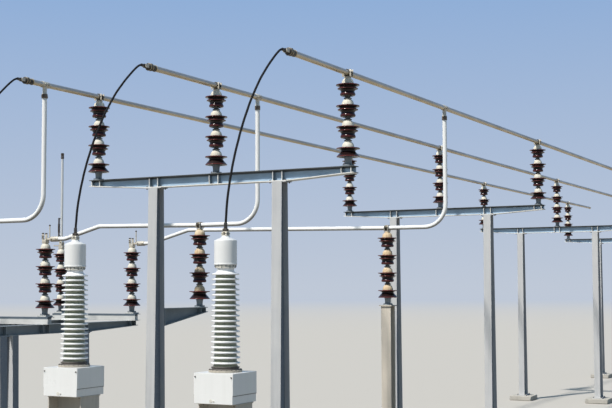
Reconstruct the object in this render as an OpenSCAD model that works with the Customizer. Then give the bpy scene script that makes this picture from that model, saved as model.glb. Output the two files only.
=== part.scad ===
// Outdoor switchgear bay of a substation: three aluminium tube busbars on four steel
// portals with stacked cap-and-pin insulators, a riser with a side run from each busbar
// to a three-pole disconnector whose blades swing up, and a row of instrument transformers
// fed by flexible jumpers. The blades stand open. Millimetres, +Z up, +Y along the busbars
// and away from the transformers.

/* [Bay layout] */
// Distance between neighbouring busbars
phase_pitch = 2440; // [2200:10:3000]
// Distance between neighbouring portals
portal_pitch = 10200; // [7000:100:10600]
// Height of the crossbeams' top face
beam_top_h = 5520; // [5200:10:6000]
// How far a busbar reaches in front of the first portal
busbar_overhang = 1950; // [1850:10:2100]
// How far a busbar reaches past the last portal
busbar_tail = 3500; // [1800:10:3600]

/* [Concrete pads] */
// Height of every pad above the ground
pad_h = 150; // [60:5:300]
// Side of a portal column's pad
column_pad_w = 700; // [520:10:900]
// Side of a post stand's pad
stand_pad_w = 520; // [420:10:700]
// Side of a transformer stand's pad
transformer_pad_w = 860; // [760:10:1000]

/* [Portal columns] */
// Distance between the two columns of a portal
column_pitch = 2420; // [2000:10:3000]
// Width of a column's flanges
column_w = 180; // [150:5:240]
// Depth of a column under the crossbeam
column_top_d = 200; // [160:5:260]
// Depth of a column at its foot
column_base_d = 360; // [300:5:420]
// Thickness of a column's flanges
column_flange_t = 12; // [8:1:20]
// Thickness of a column's web
column_web_t = 9; // [6:1:16]
// Thickness of the foot plate
foot_plate_t = 25; // [15:1:40]
// How far the foot plate stands out round the column
foot_plate_edge = 60; // [40:5:80]
// Length of the cap plate across the bay
cap_plate_l = 340; // [260:5:400]
// Thickness of the cap plate
cap_plate_t = 14; // [10:1:25]

/* [Crossbeams] */
// Length of a crossbeam
beam_l = 5150; // [5100:10:6600]
// Depth of a crossbeam between the columns
beam_d = 185; // [150:5:260]
// Depth of a crossbeam at its tips
beam_tip_d = 110; // [80:5:140]
// Width of a crossbeam's flanges
beam_w = 200; // [200:5:260]
// Thickness of a crossbeam's flanges
beam_flange_t = 12; // [8:1:20]
// Thickness of a crossbeam's web
beam_web_t = 9; // [6:1:16]
// Thickness of a stiffener
stiffener_t = 10; // [6:1:16]
// Distance between the two stiffeners of a pair
stiffener_pitch = 170; // [140:5:240]

/* [Insulators] */
// Number of units in a stack
unit_count = 4; // [2:1:6]
// Height from one unit's upper shed to the next one's
unit_h = 335; // [320:5:380]
// Height of the metal cap above the upper shed
cap_h = 110; // [100:2:125]
// Radius of the cap's skirt
cap_r = 98; // [90:1:110]
// Radius of the cap's top
cap_top_r = 52; // [45:1:60]
// Radius of the upper shed
shed_r = 188; // [170:2:210]
// Radius of the second shed
second_shed_r = 160; // [140:2:168]
// Radius of the bell under the sheds
bell_r = 120; // [110:2:136]
// Radius of the lowest unit's bell
low_bell_r = 184; // [150:2:190]
// Radius of the porcelain trunk
trunk_r = 90; // [84:1:96]
// Radius of the pin in the porcelain
pin_r = 30; // [24:1:38]
// Radius of the pin's neck below the bell
neck_r = 50; // [44:1:60]
// Height from the lowest unit's upper shed to the seat of the stack
foot_h = 285; // [270:5:320]
// Radius of the round flange that the stack stands on
foot_r = 94; // [85:1:98]

/* [Busbars] */
// Outer diameter of a busbar
busbar_d = 90; // [70:1:110]
// Wall of a busbar
busbar_wall = 6; // [4:0.5:8]
// Height of a tube's axis above the cap that carries it
tube_seat_h = 80; // [78:1:110]
// Thickness of a clamp's ring round its tube
ring_t = 14; // [10:1:20]
// Length of a clamp along its tube
clamp_l = 84; // [60:2:110]
// Radius of a clamp's foot
clamp_foot_r = 58; // [50:1:70]
// Length of the bolted sleeve at a busbar's end
sleeve_l = 180; // [150:5:240]
// Length of the jumper's clamp past the sleeve
lug_l = 110; // [90:5:160]

/* [Risers and runs] */
// Distance of the nearest riser in front of the first portal
riser_front = 1460; // [1300:10:1600]
// Distance between neighbouring risers along the bay
riser_pitch = 2830; // [2600:10:3200]
// Outer diameter of a riser and its run
run_d = 80; // [60:1:90]
// Height of a run's axis at its riser
run_h = 4760; // [4500:10:5000]
// Angle at which a run rises beyond its post
run_rise_a = 1; // [0:0.1:2]
// Radius of the bend at a riser's foot
run_bend_r = 420; // [350:10:500]
// Radius of the two bends in a run's slope
slope_bend_r = 300; // [200:10:400]
// Angle of a run's slope
slope_a = 15; // [10:1:25]
// Height of a run's end below its start
run_fall = 180; // [130:5:240]
// Straight length of a run between its slope and the disconnector's first post
run_tail = 450; // [400:10:700]
// Distance of the disconnector's first posts from the middle busbar
end_post_reach = 4780; // [4600:10:5200]
// Distance of a run's post from its riser
run_post_reach = 1200; // [900:10:1300]
// Length of the tee's branch below the busbar's axis
tee_drop = 230; // [180:5:300]
// Length of the tee along the busbar
tee_l = 180; // [120:5:240]

/* [Post stand and arm] */
// Width of the flanges of the stand and of the arm
stand_w = 200; // [190:5:240]
// Depth of the stand's section
stand_d = 200; // [160:5:240]
// Thickness of the flanges of the stand and of the arm
stand_flange_t = 12; // [8:1:18]
// Thickness of the webs of the stand and of the arm
stand_web_t = 9; // [6:1:14]
// Thickness of the stand's top and foot plates
stand_plate_t = 20; // [12:1:30]
// Side of the stand's top plate
stand_plate_w = 260; // [210:5:300]
// How far the arm reaches past its post
arm_tip = 120; // [100:5:250]
// Depth of the arm at the portal's column
arm_d = 300; // [220:10:400]
// Depth of the arm at its tip
arm_tip_d = 90; // [70:5:140]
// Thickness of the arm's end plate on the column
arm_plate_t = 16; // [10:1:25]

/* [Disconnector frame] */
// Distance between the two posts of a pole
switch_reach = 1940; // [1700:10:2200]
// How far a base channel reaches past its posts
switch_base_end = 155; // [110:5:220]
// Depth of a base channel
switch_base_d = 140; // [100:5:180]
// Width of a base channel's flanges
switch_base_w = 200; // [190:5:240]
// Thickness of a base channel's web and flanges
switch_base_t = 10; // [6:1:14]
// Thickness of the seat plate under a post
switch_seat_t = 30; // [15:1:40]
// Distance of a frame beam's axis inside its row of posts
switch_beam_inset = 40; // [0:5:100]
// How far a frame beam reaches past the outer channels
switch_beam_end = 50; // [30:5:150]
// Depth of the frame's columns at their foot
switch_column_base_d = 280; // [220:10:320]

/* [Disconnector poles] */
// Height of the blades' axis above the caps of their posts
switch_axis_h = 150; // [140:5:180]
// Length of a blade from its axis to its tip
blade_reach = 2010; // [1980:5:2020]
// Diameter of a blade
blade_d = 56; // [40:1:64]
// Diameter of the contact at a blade's tip
contact_d = 72; // [60:1:80]
// Length of that contact
contact_l = 130; // [100:5:160]
// Diameter of a blade's hub
hub_d = 72; // [60:1:76]
// Width of the hub along its pin
hub_w = 60; // [40:2:80]
// Diameter of the pin that the hub turns on
hinge_pin_d = 24; // [18:1:30]
// Height of the arcing rod above the cap of its post
arcing_rod_h = 350; // [280:5:420]

/* [Instrument transformers] */
// Distance of the transformers in front of the first portal
transformer_front = 3650; // [3500:10:3800]
// Height of a tank's underside
tank_base_h = 2170; // [1900:10:2400]
// Width of a tank
tank_w = 580; // [540:5:640]
// Depth of a tank along the bay
tank_d = 590; // [540:5:640]
// Height of a tank
tank_h = 385; // [340:5:440]
// Width of the stand under a tank
tank_stand_w = 560; // [420:5:600]
// Depth of the stand under a tank
tank_stand_d = 400; // [320:5:500]
// Thickness of the stand's flanges and web
tank_stand_t = 14; // [8:1:20]
// Thickness of the stand's top and foot plates
tank_plate_t = 16; // [10:1:25]
// Height of the flanged turret on a tank
turret_h = 75; // [60:5:120]
// Radius of the turret where it meets the tank
turret_r = 215; // [200:5:250]
// Height of the porcelain between turret and head
housing_h = 1230; // [1000:10:1400]
// Number of sheds on the porcelain
housing_sheds = 18; // [10:1:24]
// Radius of the porcelain's core at its top
core_top_r = 132; // [118:1:145]
// Radius of the porcelain's core at its foot
core_base_r = 150; // [138:1:165]
// How far a shed stands out from the core
shed_out = 45; // [35:1:60]
// Radius of the metal head
head_r = 148; // [136:1:165]
// Height of the head's cylinder with its band
head_h = 380; // [320:5:440]
// Height of the collar under the head
head_cone_h = 20; // [10:5:60]
// Radius of the bolted band at the head's foot
band_r = 157; // [152:1:172]
// Height of that band
band_h = 76; // [50:2:100]
// Height of the dome on the head
dome_h = 35; // [20:1:70]
// Height of the terminal above the dome
terminal_h = 95; // [60:5:110]

/* [Jumpers] */
// Diameter of a jumper
jumper_d = 32; // [24:1:40]

/* [Hidden] */
$fn = 48;

// Gap between a curved face and the curved face that holds it
fit_gap = 0.3;
// Gap between two flat faces that are bolted together on a slope
flush_gap = 0.05;
// Amount by which a cutting shape runs past the face it cuts
cut = 1;

portals = [0, 1, 2, 3];
phases = [0, 1, 2];
// Row frame: the middle of the whole bay, on the ground
east_reach = max(beam_l / 2, phase_pitch + max(shed_r, tank_w / 2, transformer_pad_w / 2));
switch_terminal_reach = 200;
west_reach = end_post_reach + switch_reach
    + max(stand_pad_w / 2 - switch_beam_inset, shed_r, switch_base_end, switch_terminal_reach);
middle_x = (east_reach - west_reach) / 2;
front_reach = transformer_front + max(tank_d, transformer_pad_w) / 2;
end_cap_l = 30;
back_reach = (len(portals) - 1) * portal_pitch + max(busbar_tail + end_cap_l, column_pad_w / 2);
middle_y = (back_reach - front_reach) / 2;

function phase_x(phase) = (phase - 1) * phase_pitch - middle_x;
function portal_y(portal) = portal * portal_pitch - middle_y;
function riser_y(phase) = portal_y(0) - riser_front + phase * riser_pitch;

column_foot_h = pad_h + foot_plate_t;
column_h = beam_top_h - beam_d - cap_plate_t - column_foot_h;
stack_h = cap_h + (unit_count - 1) * unit_h + foot_h;
busbar_h = beam_top_h + stack_h + tube_seat_h;
busbar_r = busbar_d / 2;
run_r = run_d / 2;
busbar_front_y = portal_y(0) - busbar_overhang;
busbar_back_y = portal_y(portals[len(portals) - 1]) + busbar_tail;

// Places on a unit, counted from its upper shed
cap_lip_z = 2;
cap_socket_z = 62;
socket_r = 72;
pin_top_z = -20;
shed_tip_t = 16;
second_shed_z = -58;
bell_z = -146;
bell_rim_z = -178;

jaw_x = -end_post_reach - middle_x;
hinge_x = jaw_x - switch_reach;
end_h = run_h - run_fall;
run_post_top = run_h - tube_seat_h - stack_h;
end_post_top = end_h - tube_seat_h - stack_h;
// Foot of a post as [x, y, height]: on its own stand, on the arm, and on the disconnector
stand_post = [phase_x(2) - run_post_reach, riser_y(2), run_post_top];
arm_post = [-column_pitch / 2 - middle_x, riser_y(1), run_post_top];
run_posts = [stand_post, arm_post];
jaw_posts = [for (pole = phases) [jaw_x, riser_y(pole), end_post_top]];
hinge_posts = [for (pole = phases) [hinge_x, riser_y(pole), end_post_top]];
posts = concat(run_posts, jaw_posts, hinge_posts);

switch_beam_top_h = end_post_top - switch_seat_t - switch_base_d;
switch_beam_l = 2 * riser_pitch + switch_base_w + 2 * switch_beam_end;
switch_beam_xs = [jaw_x - switch_beam_inset, hinge_x + switch_beam_inset];
switch_column_h = switch_beam_top_h - beam_d - cap_plate_t - column_foot_h;
// Gap between a blade and the jaw that it closes into
jaw_gap = 6;
blade_r = blade_d / 2;
contact_r = contact_d / 2;
hub_r = hub_d / 2;

transformer_y = portal_y(0) - transformer_front;
tank_top_h = tank_base_h + tank_h;
housing_base_h = tank_top_h + turret_h;
head_base_h = housing_base_h + housing_h;
dome_base_h = head_base_h + head_cone_h + head_h;
terminal_top_h = dome_base_h + dome_h + terminal_h;

// Route of a jumper, as [distance in front of the first portal, height]
jumper_route = [
    [2060, 7000], [2125, 7000], [2195, 6975], [2270, 6925], [2340, 6870], [2410, 6810],
    [2485, 6745], [2555, 6680], [2625, 6610], [2695, 6540], [2760, 6470], [2820, 6395],
    [2880, 6320], [2940, 6240], [2995, 6165], [3050, 6085], [3100, 6000], [3150, 5920],
    [3200, 5835], [3245, 5750], [3290, 5665], [3330, 5575], [3370, 5490], [3410, 5400],
    [3445, 5310], [3480, 5220], [3510, 5125], [3540, 5035], [3565, 4940], [3590, 4845],
    [3610, 4750], [3625, 4655], [3635, 4560], [3645, 4475], [3650, 4430], [3650, 4390]
];

// Points of an arc round [centre r, centre z], from one angle to another
function arc(c, r, from, to, steps) =
    [for (i = [0:steps]) let (a = from + (to - from) * i / steps) c + r * [cos(a), sin(a)]];

// Concrete pad under a column or stand
module pad(w) {
    translate([-w / 2, -w / 2, 0]) cube([w, w, pad_h]);
}

// Tapered H column built up from two flanges and a web, with its foot and cap plates
module column(h, base_d) {
    foot = base_d / 2;
    top = column_top_d / 2;
    translate([0, 0, column_foot_h]) rotate([90, 0, 90]) {
        linear_extrude(column_web_t, center = true)
            polygon([[-foot + cut, 0], [foot - cut, 0], [top - cut, h], [-top + cut, h]]);
        for (side = [-1, 1])
            linear_extrude(column_w, center = true)
                polygon([
                    [side * foot, 0], [side * (foot - column_flange_t), 0],
                    [side * (top - column_flange_t), h], [side * top, h]
                ]);
    }
    foot_w = column_w + 2 * foot_plate_edge;
    foot_l = base_d + 2 * foot_plate_edge;
    translate([-foot_w / 2, -foot_l / 2, pad_h]) cube([foot_w, foot_l, foot_plate_t]);
    translate([-cap_plate_l / 2, -beam_w / 2, column_foot_h + h])
        cube([cap_plate_l, beam_w, cap_plate_t]);
}

// Distance of a portal column's flange face from the column's axis, at height z
function column_face(z) =
    column_base_d / 2 - (column_base_d - column_top_d) / 2 * (z - column_foot_h) / column_h;

module portal_columns(portal) {
    color("lightsteelblue")
        for (side = [-1, 1])
            translate([side * column_pitch / 2 - middle_x, portal_y(portal), 0])
                column(column_h, column_base_d);
}

// Outline of a crossbeam seen from the front, with tips that taper from below
beam_knee_x = column_pitch / 2 + cap_plate_l / 2;
function beam_outline(tip) = [
    [-tip, 0], [tip, 0], [tip, -beam_tip_d],
    [beam_knee_x, -beam_d], [-beam_knee_x, -beam_d], [-tip, -beam_tip_d]
];

// Space between the two flanges, open at both tips
function beam_inside(tip) = [
    [-tip - cut, -beam_flange_t], [tip + cut, -beam_flange_t],
    [tip + cut, beam_flange_t - beam_tip_d], [beam_knee_x, beam_flange_t - beam_d],
    [-beam_knee_x, beam_flange_t - beam_d], [-tip - cut, beam_flange_t - beam_tip_d]
];

// Beam across two columns, with a pair of stiffeners over each column and under each load
module crossbeam(l, load_pitch) {
    rotate([90, 0, 0]) {
        linear_extrude(beam_web_t, center = true) polygon(beam_outline(l / 2));
        linear_extrude(beam_w, center = true) difference() {
            polygon(beam_outline(l / 2));
            polygon(beam_inside(l / 2));
        }
        intersection() {
            linear_extrude(beam_w, center = true) polygon(beam_outline(l / 2));
            for (x = concat([-1, 1] * column_pitch / 2, [-1, 0, 1] * load_pitch), side = [-1, 1])
                translate([x + side * stiffener_pitch / 2, -beam_d / 2, 0])
                    cube([stiffener_t, beam_d + 2 * cut, beam_w - 2 * beam_flange_t], center = true);
        }
    }
}

module portal_crossbeam(portal) {
    color("slategray")
        translate([-middle_x, portal_y(portal), beam_top_h]) crossbeam(beam_l, phase_pitch);
}

// Porcelain of a unit: head, two sheds and a hollow bell, counted from the upper shed
function porcelain_outline() = concat(
    [[0, cap_socket_z], [socket_r, cap_socket_z], [socket_r, cap_lip_z], [cap_r + 6, cap_lip_z]],
    arc([shed_r - shed_tip_t / 2, -5], shed_tip_t / 2, 80, -80, 4),
    [[trunk_r + 32, -19], [trunk_r + 10, -27], [trunk_r + 2, -38], [trunk_r + 12, second_shed_z + 9]],
    arc([second_shed_r - shed_tip_t / 2, second_shed_z - 5], shed_tip_t / 2, 80, -80, 4),
    [[trunk_r + 24, second_shed_z - 19], [trunk_r + 4, second_shed_z - 30], [trunk_r, bell_z + 44]],
    arc([bell_r - 20, bell_z], 20, 60, -60, 5),
    [[bell_r - 22, bell_rim_z], [bell_r - 36, bell_rim_z], [bell_r - 44, bell_z + 6],
     [pin_r + fit_gap, bell_z + 16], [pin_r + fit_gap, pin_top_z], [0, pin_top_z]]
);

// Porcelain of the lowest unit, whose bell is nearly as wide as its shed
function low_porcelain_outline() = concat(
    [[0, cap_socket_z], [socket_r, cap_socket_z], [socket_r, cap_lip_z], [cap_r + 4, cap_lip_z]],
    arc([shed_r - shed_tip_t / 2, -5], shed_tip_t / 2, 80, -80, 4),
    [[trunk_r + 6, -20], [trunk_r, -30], [trunk_r + 2, -48], [low_bell_r - 34, -104], [low_bell_r - 3, -122]],
    arc([low_bell_r - 9, -136], 9, 40, -80, 4),
    [[low_bell_r - 24, -140], [trunk_r, -116], [pin_r + fit_gap, -112], [pin_r + fit_gap, pin_top_z],
     [0, pin_top_z]]
);

// Domed outside of a cap, from its top down to the lip of its skirt, at height z of the shed
function cap_side(z) = concat(
    [[cap_top_r, z + cap_h], [cap_top_r, z + cap_h - 12]],
    arc([cap_top_r - 8, z + 28], cap_r - cap_top_r + 6, 72, 18, 4),
    [[cap_r, z + 20], [cap_r, z + cap_lip_z], [socket_r + fit_gap, z + cap_lip_z],
     [socket_r + fit_gap, z + cap_socket_z], [0, z + cap_socket_z]]
);

// Pin of a unit with the cap of the next one, bolted foot to top
function joint_outline() = concat(
    [[0, pin_top_z], [pin_r, pin_top_z], [pin_r, bell_z + 10], [neck_r, bell_z], [neck_r, cap_h - unit_h + 12],
     [cap_top_r + 8, cap_h - unit_h + 12], [cap_top_r + 8, cap_h - unit_h]],
    cap_side(-unit_h)
);

// Pin and pedestal of the lowest unit
function pedestal_outline() = [
    [0, pin_top_z], [pin_r, pin_top_z], [pin_r, -122], [neck_r + 12, -132], [neck_r + 8, -foot_h + 46],
    [neck_r + 22, -foot_h + 24], [foot_r, -foot_h + 18], [foot_r, -foot_h], [0, -foot_h]
];

module stack_porcelain() {
    for (unit = [0:unit_count - 1])
        translate([0, 0, foot_h + unit * unit_h]) rotate_extrude()
            polygon(unit == 0 ? low_porcelain_outline() : porcelain_outline());
}

module stack_metal() {
    translate([0, 0, foot_h]) rotate_extrude() polygon(pedestal_outline());
    for (unit = [1:unit_count - 1])
        translate([0, 0, foot_h + unit * unit_h]) rotate_extrude() polygon(joint_outline());
    translate([0, 0, foot_h + (unit_count - 1) * unit_h]) rotate_extrude()
        polygon(concat([[0, cap_h]], cap_side(0)));
}

module portal_porcelain(portal) {
    color("sienna")
        for (phase = phases) translate([phase_x(phase), portal_y(portal), beam_top_h]) stack_porcelain();
}

module portal_caps(portal) {
    color("gainsboro")
        for (phase = phases) translate([phase_x(phase), portal_y(portal), beam_top_h]) stack_metal();
}

// Bolted clamp on a cap, with a ring round a tube that lies along Y
module tube_clamp(tube_r) {
    ring_r = tube_r + ring_t;
    difference() {
        union() {
            translate([0, 0, -tube_seat_h]) cylinder(r = clamp_foot_r, h = 14);
            translate([-tube_r * 0.8, -clamp_l / 3, -tube_seat_h]) cube([tube_r * 1.6, clamp_l / 1.5, tube_seat_h]);
            rotate([90, 0, 0]) cylinder(r = ring_r, h = clamp_l, center = true);
            translate([-ring_r - 22, -clamp_l / 2, -12]) cube([2 * ring_r + 44, clamp_l, 24]);
        }
        rotate([90, 0, 0]) cylinder(r = tube_r + fit_gap, h = clamp_l + 2 * cut, center = true);
    }
}

module busbar_clamps() {
    color("tan")
        for (portal = portals, phase = phases)
            translate([phase_x(phase), portal_y(portal), busbar_h]) tube_clamp(busbar_r);
}

// Drawn aluminium tube from the front sleeve to the back end cap
module busbar(phase) {
    color("silver")
        translate([phase_x(phase), busbar_front_y, busbar_h]) rotate([-90, 0, 0]) {
            difference() {
                cylinder(r = busbar_r, h = busbar_back_y - busbar_front_y);
                translate([0, 0, -cut])
                    cylinder(r = busbar_r - busbar_wall, h = busbar_back_y - busbar_front_y + 2 * cut);
            }
        }
}

module busbar_end_caps() {
    color("silver")
        for (phase = phases)
            translate([phase_x(phase), busbar_back_y, busbar_h]) rotate([-90, 0, 0]) {
                cylinder(r = busbar_r + 6, h = end_cap_l);
                translate([0, 0, -40]) cylinder(r = busbar_r - busbar_wall - fit_gap, h = 40 + cut);
            }
}

// Bolted sleeve on the front end of a busbar, with the clamp that takes the jumper
module busbar_sleeves() {
    sleeve_r = busbar_r + 13;
    sleeve_end_t = 12;
    neck_l = 26;
    color("gainsboro")
        for (phase = phases)
            translate([phase_x(phase), busbar_front_y, busbar_h]) rotate([-90, 0, 0]) {
                difference() {
                    union() {
                        translate([0, 0, -sleeve_end_t]) cylinder(r = sleeve_r, h = sleeve_l + sleeve_end_t);
                        for (z = [30, sleeve_l - 60])
                            translate([-sleeve_r - 18, -12, z]) cube([2 * sleeve_r + 36, 24, 34]);
                    }
                    cylinder(r = busbar_r + fit_gap, h = sleeve_l + cut);
                }
                translate([0, 0, -sleeve_end_t - neck_l]) cylinder(r = 36, h = neck_l + cut);
                translate([-34, -34, -lug_l]) cube([68, 68, lug_l - sleeve_end_t - neck_l + cut]);
            }
}

// Distance from a riser at which its run starts to rise, past the posts' clamps
rise_start = max(run_post_reach, column_pitch / 2) + clamp_l;
// Level length that a slope of a given fall takes, with its two bends
function slope_reach(fall) =
    2 * slope_bend_r * sin(slope_a) + (fall - 2 * slope_bend_r * (1 - cos(slope_a))) / tan(slope_a);
// Height that a run gains between its post and its slope
function run_rise(phase) =
    let (level_end = phase_x(phase) - jaw_x - run_tail - slope_reach(run_fall))
    max(0, level_end - rise_start) / (1 / tan(max(run_rise_a, 0.01)) + 1 / tan(slope_a));
tee_socket = 70;
riser_top_h = busbar_h - tee_drop + tee_socket;
// Distance from the middle of a jaw's post to the end of its run
run_end_gap = 165;

// Route of a riser and its run, as [distance to the side of the riser, height]
function run_route(phase) =
    let (reach = phase_x(phase) - jaw_x,
         rise = run_rise(phase),
         slope_end = reach - run_tail,
         slope_start = slope_end - slope_reach(run_fall + rise))
    concat(
        [[0, riser_top_h]],
        arc([run_bend_r, run_h + run_bend_r], run_bend_r, 180, 270, 9),
        rise > 0 ? [[rise_start, run_h]] : [],
        arc([slope_start, run_h + rise - slope_bend_r], slope_bend_r, 90, 90 - slope_a, 2),
        arc([slope_end, end_h + slope_bend_r], slope_bend_r, 270 - slope_a, 270, 2),
        [[reach - run_end_gap, end_h]]
    );

// Round bar swept along a route of [distance along X, height]
module swept_bar(route, r, sides) {
    last = len(route) - 1;
    points = [for (i = [0:last])
        let (t = route[min(i + 1, last)] - route[max(i - 1, 0)],
             n = r * [-t.y, t.x] / norm(t))
        for (s = [0:sides - 1])
            let (a = 360 * s / sides)
            [route[i].x + cos(a) * n.x, sin(a) * r, route[i].y + cos(a) * n.y]];
    start = [for (s = [sides - 1:-1:0]) s];
    end = [for (s = [0:sides - 1]) last * sides + s];
    strips = [for (i = [0:last - 1], s = [0:sides - 1])
        let (next = (s + 1) % sides)
        [i * sides + s, i * sides + next, (i + 1) * sides + next, (i + 1) * sides + s]];
    polyhedron(points = points, faces = concat([start], strips, [end]));
}

// Bent aluminium tube of a riser and its run
module run(phase) {
    color("whitesmoke")
        translate([phase_x(phase), riser_y(phase), 0]) rotate([0, 0, 180])
            swept_bar(run_route(phase), run_r, 24);
}

// Tee that clamps a busbar and holds the head of a riser
module tee_connectors() {
    branch_r = run_r + 11;
    color("tan")
        for (phase = phases)
            translate([phase_x(phase), riser_y(phase), busbar_h]) difference() {
                union() {
                    rotate([90, 0, 0]) cylinder(r = busbar_r + ring_t, h = tee_l, center = true);
                    translate([0, 0, -tee_drop]) cylinder(r = branch_r, h = tee_drop);
                    translate([-busbar_r - ring_t - 20, -tee_l / 2, -11])
                        cube([2 * (busbar_r + ring_t + 20), tee_l, 22]);
                }
                rotate([90, 0, 0]) cylinder(r = busbar_r + fit_gap, h = tee_l + 2 * cut, center = true);
                translate([0, 0, -tee_drop - cut]) cylinder(r = run_r + fit_gap, h = tee_socket + cut);
            }
}

// H column with plates at its top and foot, under the post of run C
module post_stands() {
    top = stand_post.z;
    color("lightsteelblue") translate([stand_post.x, stand_post.y, 0]) {
        for (z = [pad_h, top - stand_plate_t])
            translate([-stand_plate_w / 2, -stand_plate_w / 2, z])
                cube([stand_plate_w, stand_plate_w, stand_plate_t]);
        translate([0, 0, pad_h + stand_plate_t]) linear_extrude(top - pad_h - 2 * stand_plate_t) {
            square([stand_web_t, stand_d - stand_flange_t], center = true);
            for (side = [-1, 1])
                translate([0, side * (stand_d - stand_flange_t) / 2])
                    square([stand_w, stand_flange_t], center = true);
        }
    }
}

// Tapered arm on the first portal's left column, which carries the post of run B at its tip
module arm_stand() {
    top = arm_post.z;
    tip_y = arm_post.y - portal_y(0) + arm_tip;
    root_y = column_face(top) + flush_gap;
    low_root_y = column_face(top - arm_d) + flush_gap;
    arm_side = [[root_y, 0], [tip_y, 0], [tip_y, -arm_tip_d], [low_root_y, -arm_d]];
    arm_inside = [
        [root_y + arm_plate_t, -stand_flange_t], [tip_y + cut, -stand_flange_t],
        [tip_y + cut, stand_flange_t - arm_tip_d], [low_root_y + arm_plate_t, stand_flange_t - arm_d]
    ];
    color("slategray")
        translate([arm_post.x, portal_y(0), top]) rotate([90, 0, 90]) {
            linear_extrude(stand_web_t, center = true) polygon(arm_side);
            linear_extrude(stand_w, center = true) difference() {
                polygon(arm_side);
                polygon(arm_inside);
            }
            intersection() {
                linear_extrude(stand_w, center = true) polygon(arm_side);
                for (side = [-1, 1])
                    translate([arm_post.y - portal_y(0) + side * 70, -arm_d / 2, 0])
                        cube([stiffener_t, arm_d, stand_w - 2 * stand_flange_t], center = true);
            }
        }
}

module post_porcelain() {
    color("sienna") for (post = posts) translate(post) stack_porcelain();
}

module post_caps() {
    color("gainsboro") for (post = posts) translate(post) stack_metal();
}

module run_clamps() {
    color("tan")
        for (post = run_posts)
            translate(post + [0, 0, stack_h + tube_seat_h]) rotate([0, 0, 90]) tube_clamp(run_r);
}

module at_switch_columns() {
    for (x = switch_beam_xs, side = [-1, 1])
        translate([x, riser_y(1) + side * column_pitch / 2, 0]) rotate([0, 0, 90]) children();
}

module switch_columns() {
    color("lightsteelblue") at_switch_columns() column(switch_column_h, switch_column_base_d);
}

module switch_beams() {
    color("slategray")
        for (x = switch_beam_xs)
            translate([x, riser_y(1), switch_beam_top_h]) rotate([0, 0, 90])
                crossbeam(switch_beam_l, riser_pitch);
}

// Channel under the two posts of a pole, with its web to the front and a seat for each post
module switch_bases() {
    base_l = switch_reach + 2 * switch_base_end;
    inner_w = switch_base_w - switch_base_t;
    seat_l = 2 * foot_r + 30;
    color("silver")
        for (pole = phases) translate([hinge_x, riser_y(pole), switch_beam_top_h]) {
            translate([-switch_base_end, -switch_base_w / 2, 0]) difference() {
                cube([base_l, switch_base_w, switch_base_d]);
                translate([-cut, switch_base_t, switch_base_t])
                    cube([base_l + 2 * cut, inner_w + cut, switch_base_d - 2 * switch_base_t]);
            }
            for (x = [0, switch_reach]) {
                translate([x - seat_l / 2, -switch_base_w / 2, switch_base_d])
                    cube([seat_l, switch_base_w, switch_seat_t]);
                for (side = [-1, 1])
                    translate([x + side * foot_r - switch_base_t / 2, -switch_base_w / 2, 0])
                        cube([switch_base_t, switch_base_w - 20, switch_base_d]);
            }
        }
}

// Fork on a post's cap that a blade closes into, with the sleeve of the run and the arcing rod
module switch_jaws() {
    base_h = 75;
    finger_t = 12;
    finger_y = contact_r + jaw_gap;
    fork_l = 90;
    rod_x = 100;
    rod_r = 7;
    sleeve_x = 140;
    jaw_sleeve_l = 190;
    sleeve_z = end_h - end_post_top - stack_h;
    color("wheat")
        for (post = jaw_posts) translate(post + [0, 0, stack_h]) {
            translate([0, 0, base_h / 2])
                cube([fork_l + 10, 2 * (finger_y + finger_t), base_h], center = true);
            for (side = [-1, 1])
                translate([-fork_l / 2, side * (finger_y + finger_t / 2) - finger_t / 2, 0])
                    cube([fork_l, finger_t, switch_axis_h + 55]);
            translate([fork_l / 2, -25, sleeve_z - 20]) cube([sleeve_x - fork_l / 2 + cut, 50, 40]);
            translate([rod_x, 0, sleeve_z]) cylinder(r = rod_r, h = arcing_rod_h - sleeve_z);
            translate([rod_x, 0, arcing_rod_h]) sphere(r = 16);
            translate([sleeve_x, 0, sleeve_z]) rotate([0, 90, 0]) difference() {
                union() {
                    cylinder(r = run_r + 12, h = jaw_sleeve_l);
                    for (z = [20, jaw_sleeve_l - 60])
                        translate([-10, -run_r - 30, z]) cube([20, 2 * (run_r + 30), 34]);
                }
                translate([0, 0, run_end_gap - sleeve_x - 5])
                    cylinder(r = run_r + fit_gap, h = jaw_sleeve_l);
            }
        }
}

// Bearing on a post's cap, with two ears, the blade's pin and a flat terminal
module switch_hinges() {
    base_h = 75;
    ear_t = 16;
    ear_y = hub_w / 2 + 1;
    ear_r = 36;
    terminal_z = end_h - end_post_top - stack_h;
    color("wheat")
        for (post = hinge_posts) translate(post + [0, 0, stack_h]) {
            translate([0, 0, base_h / 2]) cube([110, 2 * (ear_y + ear_t), base_h], center = true);
            for (side = [-1, 1])
                translate([0, side * (ear_y + ear_t / 2), 0]) rotate([90, 0, 0]) {
                    translate([-ear_r, 0, -ear_t / 2]) cube([2 * ear_r, switch_axis_h, ear_t]);
                    translate([0, switch_axis_h, 0]) cylinder(r = ear_r, h = ear_t, center = true);
                }
            translate([0, 0, switch_axis_h]) rotate([90, 0, 0])
                cylinder(d = hinge_pin_d, h = 2 * (ear_y + ear_t + 8), center = true);
            translate([-switch_terminal_reach, -40, terminal_z - 10])
                cube([switch_terminal_reach - 50, 80, 20]);
        }
}

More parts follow.
